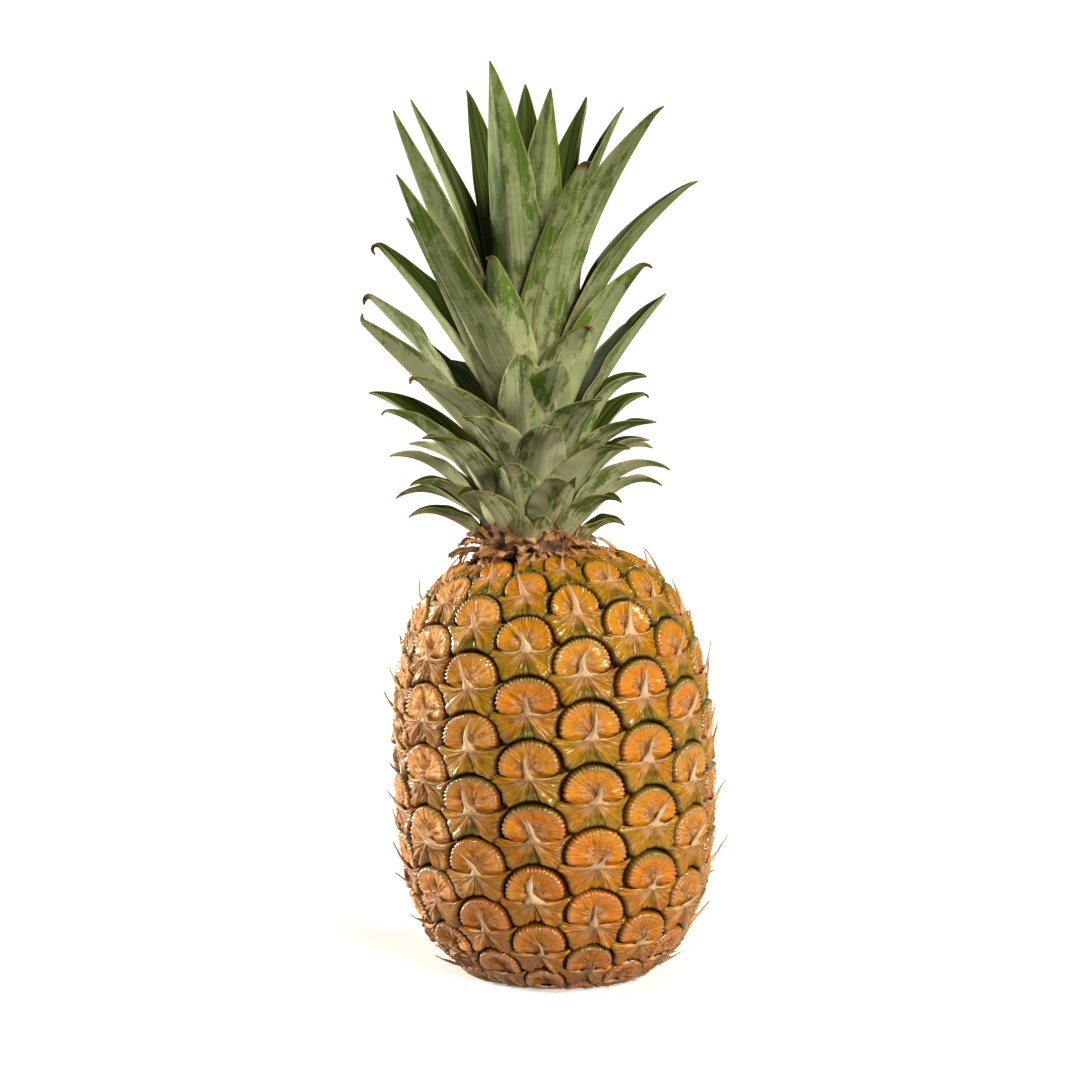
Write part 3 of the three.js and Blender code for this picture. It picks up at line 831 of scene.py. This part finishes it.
def lip_points(eyes, side):
    """A torn edge in front of the cap's foot, from the root to the left wing (side -1) or the right (1)."""
    eye, share, corner = along_and_round(eyes, LIP_STEPS, LIP_RING)
    far = 11.6 + 1.0 * wobble(eye, 50 + side)
    tear = 0.25 * np.sin(9 * share + 5 * wobble(eye, 52 + side))
    tear = tear + 0.2 * np.sin(23 * share + wobble(eye, 54))
    rise = (0.9 + 0.5 * wobble(eye, 56 + side)) * (1 - share) ** 0.5 + tear * (1 - share)
    free = np.array([0.0, 1.0, 1.0, 0.0])[corner]
    face = np.array([-0.5, -0.5, 0.5, 0.5])[corner]
    x = side * (0.4 + far * share) + 0.35 * wobble(eye, 13) * (1 - share)
    y = -1.2 - 1.4 * np.sin(np.pi * share * 0.9) + 1.6 * share**2 + free * rise + 0.3 * wobble(eye, 14)
    relief = 3.2 - 0.9 * share**1.5 + 0.3 * free + 0.3 * face * (1 - 0.5 * free)
    return on_fruit(eye, x, y, relief, 0.3), share, free


def closed_tubes(steps, ring, count, turn_over):
    """Faces of many tubes of one kind, each end closed by triangles over its ring.

    A ring whose corners run the other way round gives faces that look inwards, so turn_over reverses them.
    """
    side_faces = grid_faces(steps, ring, closed=True)
    start = np.arange(ring)[::-1]
    end = (steps - 1) * ring + np.arange(ring)
    caps = [np.stack([loop[[0] * (ring - 2)], loop[1:-1], loop[2:]], -1) for loop in (start, end)]
    ends = np.concatenate(caps)
    if turn_over:
        side_faces, ends = side_faces[:, ::-1], ends[:, ::-1]
    return [repeated(ends, count, steps * ring), repeated(side_faces, count, steps * ring)]


print("spike and lip: ", SPIKE_STEPS * SPIKE_RING, "and", LIP_STEPS * LIP_RING, "points each")

# %% [markdown]
# Dead bract is like straw paper: cream to tan, with brown fibres along it and darker, frayed edges and ends.
# It has no wax. The same paper serves for the dry collar under the crown.

# %% Papery material
def paper_material():
    """Layers from cream up: fibres, the root, the fruit's top, and the brown edges and ends."""
    finish, values, principled = new_finish("dry_paper")
    high = shoulder_mask(values)
    share, across, eye = stored(values, "share"), stored(values, "across"), stored(values, "eye")
    fibres = noise(values, 1.0, 4.0, place_of(values, across * 5.0, share * 2.0, eye * 60.0))
    fine = noise(values, 1200.0, 3.0)
    cream = eye.mix(shade(240, 214, 162), shade(216, 182, 142))
    color = (fibres.step(0.46, 0.64) * 0.7).mix(cream, shade(140, 90, 48))
    color = ((1 - share.step(0.0, 0.5)) * 0.5).mix(color, shade(196, 142, 104))
    color = (high * 0.55).mix(color, shade(178, 118, 58))
    edges = abs(across).step(0.6, 1.0) * share.step(0.1, 0.4)
    color = (edges * 0.6).mix(color, shade(118, 72, 36))
    color = (share.step(0.6, 1.0) * (0.25 + eye * 0.6)).mix(color, shade(112, 60, 28))
    wear(values, principled, color, 0.55 + fine * 0.3, fibres * 0.8 + fine * 0.2, 0.0006)
    return finish


paper_finish = paper_material()
print("nodes of the paper's finish:", len(paper_finish.node_tree.nodes))

# %% [markdown]
# Spikes and lips are one piece, because each lip grows out of its spike. A lip's share starts further on
# than a spike's, as the lips are browner.

# %% Make the spikes and lips as one piece
paper_parts = []
points_done = 0
for side in (0, -1, 1):
    if side == 0:
        (part_points, part_share, part_across), steps, ring = spike_points(EYES), SPIKE_STEPS, SPIKE_RING
    else:
        (part_points, part_share, part_across), steps, ring = lip_points(EYES, side), LIP_STEPS, LIP_RING
        part_share = 0.35 + 0.6 * part_share
    part_eye = np.repeat(0.5 + 0.5 * wobble(EYES, 31), steps * ring)
    triangles, quads = closed_tubes(steps, ring, len(EYES), turn_over=side > 0)
    paper_parts.append((part_points.reshape(-1, 3), triangles + points_done, quads + points_done,
                        part_share.ravel(), part_across.ravel(), part_eye))
    points_done += part_eye.size

paper_places, triangles, quads, share, across, eye = map(np.concatenate, zip(*paper_parts))
paper_values = {"share": share, "across": across, "eye": eye}
make_piece("papery_tips", paper_places, [triangles, quads], paper_finish, "fruit", paper_values)

# %% [markdown]
# ## The skin in the grooves
#
# Between caps and bracts the skin is dull and dark brown, partly its own colour and partly painted shade of
# the deep grooves. One surface of revolution under them all closes the fruit, with its seat for the crown on
# top and its pocket for the stalk below.

# %% Groove skin
GROOVE_ROWS = 150
GROOVE_COLUMNS = 200
GROOVE_RELIEF = 0.15
GROOVE_FOOT = 0.3  # the skin's lowest height above the table


def groove_points():
    """The outline at a relief just above the grooves' floor, turned round the bent axis."""
    row = np.linspace(STATION_COUNT[0], STATION_COUNT[-1], GROOVE_ROWS)
    azimuth = np.arange(GROOVE_COLUMNS) * 360 / GROOVE_COLUMNS
    count, around = np.meshgrid(row, azimuth, indexing="ij")
    rough = 0.12 * np.sin(around * 0.9 + count * 1.7) + 0.1 * np.sin(around * 0.41 - count * 2.3)
    points = skin_point(around, count, GROOVE_RELIEF + rough)
    from_crown = np.hypot(points[..., 0] - CROWN_AXIS, points[..., 1])
    seat = (from_crown < STEM_RADIUS + GAP) & (points[..., 2] > CROWN_SEAT)
    points[..., 2] = np.where(seat, CROWN_SEAT, np.maximum(points[..., 2], GROOVE_FOOT))
    pocket = (np.hypot(points[..., 0], points[..., 1]) < STALK_RADIUS + GAP) & (points[..., 2] < 20)
    points[..., 2] = np.where(pocket, STALK_DEPTH + GAP, points[..., 2])
    return points


def groove_material():
    """Dark brown in two tones, partly painted groove shade, greener at the top, with fine darker specks."""
    finish, values, principled = new_finish("groove_skin")
    fine = noise(values, 500.0, 5.0)
    # The dark browns are partly the skin's own colour and partly painted shade of the deep grooves.
    color = blotches(values).step(0.35, 0.65).mix(shade(66, 34, 6), shade(78, 50, 8))
    color = (shoulder_mask(values) * 0.5).mix(color, shade(70, 62, 10))
    color = fine.step(0.5, 0.75).mix(color, shade(38, 18, 4))
    wear(values, principled, color, 0.6 + fine * 0.3, fine, 0.0006)
    return finish


def round_faces(rows, columns):
    """Faces of a surface that is closed round, with a fan at each end, seen from outside."""
    end = (rows - 1) * columns
    column = np.arange(columns)
    bottom = np.stack([0 * column + rows * columns, (column + 1) % columns, column], -1)
    top = np.stack([0 * column + rows * columns + 1, end + column, end + (column + 1) % columns], -1)
    return [np.concatenate([bottom, top]), grid_faces(rows, columns, closed=True)]


groove_ends = np.array([[0, 0, STALK_DEPTH + GAP], [CROWN_AXIS, 0, CROWN_SEAT]])
make_piece("groove_skin", np.concatenate([groove_points().reshape(-1, 3), groove_ends]),
           round_faces(GROOVE_ROWS, GROOVE_COLUMNS), groove_material(), "fruit", {})

# %% [markdown]
# ## The crown
#
# The crown is a rosette, with each leaf 137.5 degrees round from the last. A leaf is a folded blade on a
# curved midrib, so it is worked out as a surface of two parameters, along and across. The outer leaves are
# short and bend back, the inner ones are long and nearly straight. A leaf's rank is its number up the spiral,
# and its sizes follow from its rank, except where the photograph shows that one leaf stands differently.

# %% Leaf sizes, as the solids have them
LEAF_TURN = 137.5
RANK_ZERO_AZIMUTH = -5.0
LOST_RANKS = (13, 21, 31, 32)  # leaves that this crown lacks
RANKS = [rank for rank in range(-36, 34) if rank not in LOST_RANKS]
# Pairs of rank and size, in mm or degrees, with straight lines between them.
LEAF_FORM = {
    "root_height": [(-36, 159), (-20, 170), (0, 187), (16, 202), (34, 219)],
    "root_radius": [(-36, 16), (-20, 15), (0, 12), (16, 8), (34, 3)],
    "root_tilt": [(-36, 50), (-20, 44), (-6, 32), (6, 20), (18, 14), (34, 6)],
    "reach": [(-36, 39), (-30, 48), (-20, 52), (-6, 55), (6, 56), (18, 58), (24, 52), (34, 18)],
    "tip_height": [(-36, 169), (-30, 180), (-20, 194), (-10, 208), (0, 229), (8, 252), (18, 292),
                   (26, 326), (34, 320)],
    "tip_tilt": [(-36, 122), (-20, 104), (-10, 84), (0, 58), (10, 44), (20, 34), (34, 12)],
    "width": [(-36, 17), (-20, 21), (0, 23), (16, 26), (26, 24), (34, 18)],
}
# Leaves that show as single ones: reach, tip height, root tilt and tip tilt.
SINGLE_LEAVES = {
    -32: (45, 171, 58, 116), -27: (57, 176, 54, 118), -24: (49, 184, 52, 104), -19: (53, 193, 54, 96),
    -16: (57, 202, 50, 92), -15: (44, 199, 44, 96), -14: (60, 196, 52, 84), -11: (56, 211, 54, 78),
    -7: (48, 216, 48, 76), -6: (65, 216, 62, 72), -3: (52, 224, 14, 62), -2: (43, 223, 40, 85),
    0: (40, 233, 14, 40), 1: (38, 222, 20, 50), 2: (65, 245, 40, 44), 3: (33, 242, 20, 62),
    5: (27, 269, 8, 14), 6: (52, 253, 32, 42), 7: (74, 254, 42, 48), 8: (40, 229, 16, 40),
    9: (36, 266, 12, 24), 10: (47, 281, 20, 26), 11: (48, 266, 26, 44), 12: (45, 272, 14, 34),
    14: (24, 268, 8, 14), 15: (61, 274, 28, 42), 16: (35, 303, 10, 18), 17: (44, 292, 12, 26),
    18: (63, 296, 26, 24), 19: (61, 295, 16, 50), 20: (50, 284, 14, 34), 22: (32, 326, 8, 22),
    23: (51, 320, 22, 18), 24: (59, 321, 12, 40), 25: (21, 331, 5, 12), 26: (30, 337, 8, 16),
    27: (36, 322, 8, 26), 28: (49, 325, 16, 24), 29: (12, 328, 3, 6), 30: (22, 316, 6, 14),
    33: (49, 330, 18, 24),
}
HANDLE_SHARE = 0.38
TAPER_SHARE = 0.62
TAPER_POWER = 0.9
TIP_WIDTH = 1.0
MOST_TWIST = 14.0
ROOT_FOLD = 0.42
TIP_FOLD = 0.74
# Shares of the half width, close together at the keel so that it shows as a crease.
ACROSS = np.array([-1, -0.88, -0.68, -0.45, -0.22, -0.05, 0.05, 0.22, 0.45, 0.68, 0.88, 1])
# Shares of the length, close together at the tip, which curls on the dry leaves.
LEAF_SHARES = np.concatenate([np.linspace(0, 0.92, 30), np.linspace(0.93, 1, 10)])
TURNED_LEAVES = {7: 38.0, 2: 18.0}  # degrees of twist beyond the usual
CURLED_LEAVES = {15: 170, 7: 120, 2: -70, 5: 100, 16: 60, 0: 110, 3: 90, 11: 80, -3: 100, -7: 60, -11: 70}


def form_at(name, rank):
    """A size of the leaf of this rank, on the straight lines between the pairs of LEAF_FORM."""
    ranks, sizes = zip(*LEAF_FORM[name])
    return np.interp(rank, ranks, sizes)


def leaning(angle):
    """The (out, up) parts of a step of 1 that leans outwards from upright by an angle in radians."""
    return np.stack([np.sin(angle), np.cos(angle)], -1)


def midrib(rank):
    """A cubic curve from root to tip, as (out, up) points at even steps of its length, and its headings."""
    usual = (form_at("reach", rank) + 4 * wobble(rank, 4), form_at("tip_height", rank) + 3 * wobble(rank, 5),
             form_at("root_tilt", rank), form_at("tip_tilt", rank) + 7 * wobble(rank, 6))
    reach, tip_height, root_tilt, tip_tilt = SINGLE_LEAVES.get(rank, usual)
    root = np.array([form_at("root_radius", rank), form_at("root_height", rank)])
    tip = np.array([reach, tip_height])
    handle = HANDLE_SHARE * np.linalg.norm(tip - root)
    root_way, tip_way = leaning(np.radians(root_tilt)), leaning(np.radians(tip_tilt))
    ends = [root, root + handle * root_way, tip - handle * tip_way, tip]
    t = np.linspace(0, 1, 201)[:, None]
    weights = [(1 - t) ** 3, 3 * t * (1 - t) ** 2, 3 * t**2 * (1 - t), t**3]
    path = sum(weight * end for weight, end in zip(weights, ends))
    length = np.concatenate([[0], np.cumsum(np.linalg.norm(np.diff(path, axis=0), axis=1))])
    wanted = LEAF_SHARES * length[-1]
    even = np.stack([np.interp(wanted, length, path[:, axis]) for axis in (0, 1)], -1)
    return (*curled(even, wanted, CURLED_LEAVES.get(rank, 14 * wobble(rank, 10))), length[-1])


def curled(path, travel, turn):
    """The same path, with its last steps turned more and more about the blade's width, up to turn."""
    step = np.diff(path, axis=0)
    lean = np.arctan2(step[:, 0], step[:, 1])
    lean = lean + np.radians(turn) * smooth(travel[1:] / travel[-1], 0.94, 1.0)
    heading = leaning(lean)
    size = np.linalg.norm(step, axis=1)[:, None]
    bent = path[0] + np.concatenate([[[0, 0]], np.cumsum(size * heading, 0)])
    return bent, np.concatenate([heading[:1], heading])


def leaf_points(rank):
    """A blade of two faces: across from edge to edge on the inner face, and back on the outer one."""
    even, heading, length = midrib(rank)
    share = LEAF_SHARES
    azimuth = math.radians(RANK_ZERO_AZIMUTH + rank * LEAF_TURN)
    outward = np.array([math.sin(azimuth), -math.cos(azimuth), 0])
    sideways = np.array([math.cos(azimuth), math.sin(azimuth), 0])
    upward = np.array([0, 0, 1.0])
    middle = np.array([CROWN_AXIS, 0, 0]) + even[:, :1] * outward + even[:, 1:] * upward
    middle = middle + (3.0 * wobble(rank, 13) * share**2)[:, None] * sideways
    along = heading[:, :1] * outward + heading[:, 1:] * upward
    twist = np.radians(MOST_TWIST * wobble(rank, 7) + TURNED_LEAVES.get(rank, 0)) * smooth(share, 0, 0.8)
    square = np.cross(along, sideways)
    turned = np.cos(twist)[:, None] * sideways + np.sin(twist)[:, None] * square
    inward = -np.cross(turned, along)
    full = form_at("width", rank)
    # The outer leaves narrow over more of their length, and to a sharper point.
    narrowing = TAPER_SHARE + 0.25 * (1 - smooth(rank, -16, 2))
    power = TAPER_POWER + 0.15 * (rank < -6)
    taper = np.sin((np.pi / 2) * np.minimum(1, (1 - share) / narrowing)) ** power
    half = (0.72 + 0.28 * smooth(share, 0, 0.35)) * (TIP_WIDTH * 0.5 + (full - TIP_WIDTH) * taper) / 2
    fold = ROOT_FOLD + (TIP_FOLD - ROOT_FOLD) * share
    side = np.concatenate([ACROSS, ACROSS[::-1]])
    face = np.concatenate([np.ones(len(ACROSS)), -np.ones(len(ACROSS))])
    bow = np.sqrt(side**2 + 0.004) - 0.06
    thick = (1.15 - 0.85 * np.abs(side) ** 2)[None] * (1 - 0.5 * share)[:, None]
    ripple = grain(9 * share[:, None] + 5 * rank, 1.5 * side + 40 * rank, 71)
    wave = 1.1 * ripple * np.abs(side) ** 1.5 * (half / full)[:, None] * 2
    ribs = 0.1 * np.cos(side * 26)[None] * np.ones(len(share))[:, None]
    out = fold[:, None] * half[:, None] * bow[None] + face * thick / 2 + wave + ribs
    # Torn places: a short bite out of one edge, on some of the leaves.
    bite = 0.24 * bump_at(share, 0.55 + 0.35 * wobble(rank, 14), 0.016) * (wobble(rank, 15) > 0)
    edge = half[:, None] * side * (1 - bite[:, None] * (side * np.sign(wobble(rank, 16)) > 0.6))
    points = middle[:, None] + turned[:, None] * edge[..., None] + inward[:, None] * out[..., None]
    # Centimetres beside the keel and along the blade let the finish draw lines of one size on every leaf.
    rows = np.ones((len(share), 1))
    marks = {"share": share[:, None] + 0 * side, "across": rows * side, "inner": rows * (0.5 + 0.5 * face),
             "beside": half[:, None] * side / 10, "travel": share[:, None] * length / 10 + 0 * side}
    return points, marks, length


print("leaves:", len(RANKS), "each with", len(LEAF_SHARES), "by", 2 * len(ACROSS), "points")

# %% [markdown]
# ## Leaf finish
#
# The outer face of a leaf carries a pale bloom of fine scales, which is thickest on the old, low leaves and
# is rubbed off in patches and at the sides, where the green skin shows. The inner face has none and is a
# darker green, darkened further by painted shade. Fine lines run along the blade, the edges are thin and
# straw coloured, and the tips have withered.

# %% Leaf material
def leaf_material():
    """Layers from the outer face up: bloom, rubbed green, lines, inner face with painted shade, root, edges,
    tip.
    """
    finish, values, principled = new_finish("crown_leaf")
    share, across, inner = stored(values, "share"), stored(values, "across"), stored(values, "inner")
    leaf, withered, old = stored(values, "leaf"), stored(values, "withered"), stored(values, "old")
    beside, travel = stored(values, "beside"), stored(values, "travel")
    lines = noise(values, 1.0, 2.0, place_of(values, beside * 8.0, travel * 0.12, leaf * 40.0))
    scuffs = noise(values, 190.0, 4.0, roughness=0.65)
    wander = scuffs * 0.5
    clouds = place_of(values, beside * 1.5 + wander, travel * 0.55 + wander, leaf * 90.0)
    patches = noise(values, 1.0, 7.0, clouds, 0.7)
    fine = noise(values, 700.0, 4.0)
    sides = abs(across)
    rubbed = patches + lines * 0.1 + fine * 0.14 + share * 0.06 + sides.step(0.5, 1.0) * 0.09
    rubbed = rubbed.step(0.65, 0.77)
    bloom = scuffs.step(0.3, 0.7).mix(shade(128, 136, 88), shade(160, 164, 118))
    bloom = (share.step(0.25, 0.9) * 0.6 * (1 - 0.6 * old)).mix(bloom, shade(96, 108, 62))
    bloom = (old * 0.75).mix(bloom, shade(182, 182, 136))
    green = lines.step(0.4, 0.65).mix(shade(78, 104, 16), shade(48, 70, 6))
    outer = (rubbed * 0.9).mix(bloom, green)
    outer = (lines.step(0.5, 0.68) * 0.4).mix(outer, shade(84, 92, 52))
    # The inner face: a darker green, darkened further by painted shade.
    dark = lines.step(0.35, 0.7).mix(shade(36, 46, 10), shade(68, 84, 26))
    color = inner.step(0.4, 0.6).mix(outer, dark)
    color = ((1 - share.step(0.05, 0.5)) * 0.5).mix(color, shade(168, 160, 118))
    color = (scuffs.step(0.66, 0.74) * 0.6).mix(color, shade(84, 84, 44))
    color = (sides.step(0.93, 1.0) * (0.2 + scuffs * 0.7)).mix(color, shade(160, 142, 88))
    brown = scuffs.step(0.4, 0.6).mix(shade(70, 52, 30), shade(124, 98, 60))
    color = (withered + scuffs * 0.3 * withered).mix(color, brown)
    roughness = 0.62 + fine * 0.18 - rubbed * 0.1
    pits = noise(values, 110.0, 2.0)
    wear(values, principled, color, roughness, lines * 0.5 + pits * 0.3 + patches * 0.1, 0.0006)
    return finish


leaf_finish = leaf_material()
print("nodes of the leaf's finish:", len(leaf_finish.node_tree.nodes))

# %% [markdown]
# All the leaves have the same grid, so they are stacked and made as one piece. A leaf that curls at its tip
# has also withered further down.

# %% Make the leaves as one piece
leaf_ring = 2 * len(ACROSS)
leaf_stack = [leaf_points(rank) for rank in RANKS]
leaf_places = np.stack([leaf[0] for leaf in leaf_stack]).reshape(-1, 3)
leaf_faces = closed_tubes(len(LEAF_SHARES), leaf_ring, len(RANKS), turn_over=True)
leaf_values = {key: np.stack([leaf[1][key] for leaf in leaf_stack]) for key in leaf_stack[0][1]}
dry_from = 0.98 - 0.015 * wobble(RANKS, 11) - 0.03 * np.isin(RANKS, list(CURLED_LEAVES))
dry_from = dry_from[:, None, None]
leaf_values["leaf"] = np.repeat(0.5 + 0.5 * wobble(RANKS, 32), len(LEAF_SHARES) * leaf_ring)
leaf_values["old"] = np.repeat(1 - smooth(np.array(RANKS), -14, 20), len(LEAF_SHARES) * leaf_ring)
leaf_values["withered"] = smooth(leaf_values["share"], dry_from, dry_from + 0.03)
make_piece("crown_leaves", leaf_places, leaf_faces, leaf_finish, "crown", leaf_values)
print("longest leaf in mm:", round(max(leaf[2] for leaf in leaf_stack)))

# %% [markdown]
# ## The collar
#
# Where the crown leaves the fruit, the last bracts have no fruit of their own. They are dry, brown and
# papery, and stand or lie in a loose collar over the top eyes. They are small blades like the leaves, each
# on an arc from the crown's foot, in three tiers: the lowest lie out on the fruit, the highest stand up.

# %% Collar blades
COLLAR_BLADES = 84
COLLAR_STEPS = 12
COLLAR_ACROSS = np.array([-1, -0.6, -0.15, 0.15, 0.6, 1])
COLLAR_RING = 2 * len(COLLAR_ACROSS)
# For each tier of blades, lowest first: root radius, root height, reach and rise.
COLLAR_TIERS = np.array([(17.0, 157.8, 10.5, 0.6), (18.0, 160.2, 7.0, 2.2), (18.2, 162.6, 4.6, 4.2)])


def collar_points():
    """Blades that rise on arcs from the stem, narrow to ragged points, and are crumpled by smooth noise."""
    blade, share, column = along_and_round(np.arange(COLLAR_BLADES), COLLAR_STEPS, COLLAR_RING)
    side = np.concatenate([COLLAR_ACROSS, COLLAR_ACROSS[::-1]])[column]
    face = np.where(column < len(COLLAR_ACROSS), 1.0, -1.0)
    azimuth = np.radians(blade * LEAF_TURN + 9 * wobble(blade, 81))
    root_out, root_up, reach, rise = np.moveaxis(COLLAR_TIERS[blade % 3], -1, 0)
    out = root_out + reach * (1 + 0.45 * wobble(blade, 82)) * share
    up = root_up + rise * (1 + 0.8 * wobble(blade, 83)) * share + 0.9 * np.sin(np.pi * share)
    up = up - 1.6 * (1 + wobble(blade, 84)) * share**3
    ragged = 1 + 0.35 * grain(6 * share + 11 * blade, 2 * side, 89)
    half = (2.9 + 1.2 * wobble(blade, 85)) * (1 - share) ** 0.75 * (0.75 + share) * ragged + 0.12
    crumple = grain(4 * share + 7 * blade, 2 * side + 3 * blade, 86)
    cup = 0.9 * side**2 * half / 3 + 1.1 * crumple * smooth(share, 0, 0.4)
    across = side * half + 3.4 * wobble(blade, 87) * share**2
    x = CROWN_AXIS + out * np.sin(azimuth) + across * np.cos(azimuth)
    y = -out * np.cos(azimuth) + across * np.sin(azimuth)
    points = np.stack([x, y, up + cup + 0.2 * face * (1 - 0.5 * np.abs(side))], -1)
    return points, share, side


collar_places, collar_share, collar_side = collar_points()
collar_faces = closed_tubes(COLLAR_STEPS, COLLAR_RING, COLLAR_BLADES, turn_over=True)
collar_values = {"share": 0.2 + 0.75 * collar_share, "across": collar_side,
                 "eye": np.repeat(0.5 + 0.5 * wobble(np.arange(COLLAR_BLADES), 88), collar_share[0].size)}
make_piece("dry_collar", collar_places.reshape(-1, 3), collar_faces, paper_finish, "crown",
           collar_values)

# %% [markdown]
# ## The stem under the leaves and the cut stalk
#
# The leaves' roots hide the crown's stem, a stout cone. The stalk is the woody stem that the fruit was cut
# from, with its fibres showing as dots on the cut. Both are outlines turned round an upright axis, with
# lumps that the fibres make under the skin.

# %% Stem and stalk
STEM_OUTLINE = [(19, 156.8), (19, 166), (18.6, 178), (16.6, 192), (13.6, 208), (8.6, 224), (2, 233.5)]
STALK_OUTLINE = [(12.2, 0.05), (12.5, 0.4), (12.5, 5.6), (12.2, 6.0)]
STEM_STEPS = 30
STALK_STEPS = 10
TURNED_COLUMNS = 72


def turned_points(outline, axis, steps, roughness):
    """An outline of (radius, height) pairs with even steps between them, turned round an upright axis."""
    radius, height = np.array(outline, float).T
    at = np.linspace(0, len(outline) - 1, steps)
    radius, height = np.interp(at, range(len(outline)), radius), np.interp(at, range(len(outline)), height)
    around = np.arange(TURNED_COLUMNS) * 2 * np.pi / TURNED_COLUMNS
    lumps = roughness * (np.sin(9 * around) + np.sin(23 * around + 1))
    out = radius[:, None] - np.abs(lumps)[None]
    points = np.stack([axis + out * np.sin(around), -out * np.cos(around), height[:, None] + 0 * out], -1)
    ends = np.array([[axis, 0, height[0]], [axis, 0, height[-1]]])
    return np.concatenate([points.reshape(-1, 3), ends])


def fibre_material(name, light, dark, scale):
    """Wood with dots of a darker fibre, whose size goes with one over the scale."""
    finish, values, principled = new_finish(name)
    dots = noise(values, scale, 3.0)
    fine = noise(values, 1500.0, 3.0)
    color = dots.step(0.45, 0.62).mix(light, dark)
    wear(values, principled, color, 0.7 + fine * 0.25, dots * 0.6 + fine * 0.4, 0.0006, gloss=0.5)
    return finish


# The crown's stem is dark brown, partly painted shade where it shows through the gaps of the collar.
stem_finish = fibre_material("stem_skin", shade(104, 72, 42), shade(58, 36, 20), 300.0)
make_piece("crown_stem", turned_points(STEM_OUTLINE, CROWN_AXIS, STEM_STEPS, 0.2),
           round_faces(STEM_STEPS, TURNED_COLUMNS), stem_finish, "crown", {})
stalk_finish = fibre_material("cut_stalk", shade(178, 146, 98), shade(112, 78, 44), 700.0)
make_piece("cut_stalk", turned_points(STALK_OUTLINE, 0.0, STALK_STEPS, 0.08),
           round_faces(STALK_STEPS, TURNED_COLUMNS), stalk_finish, "stalk", {})
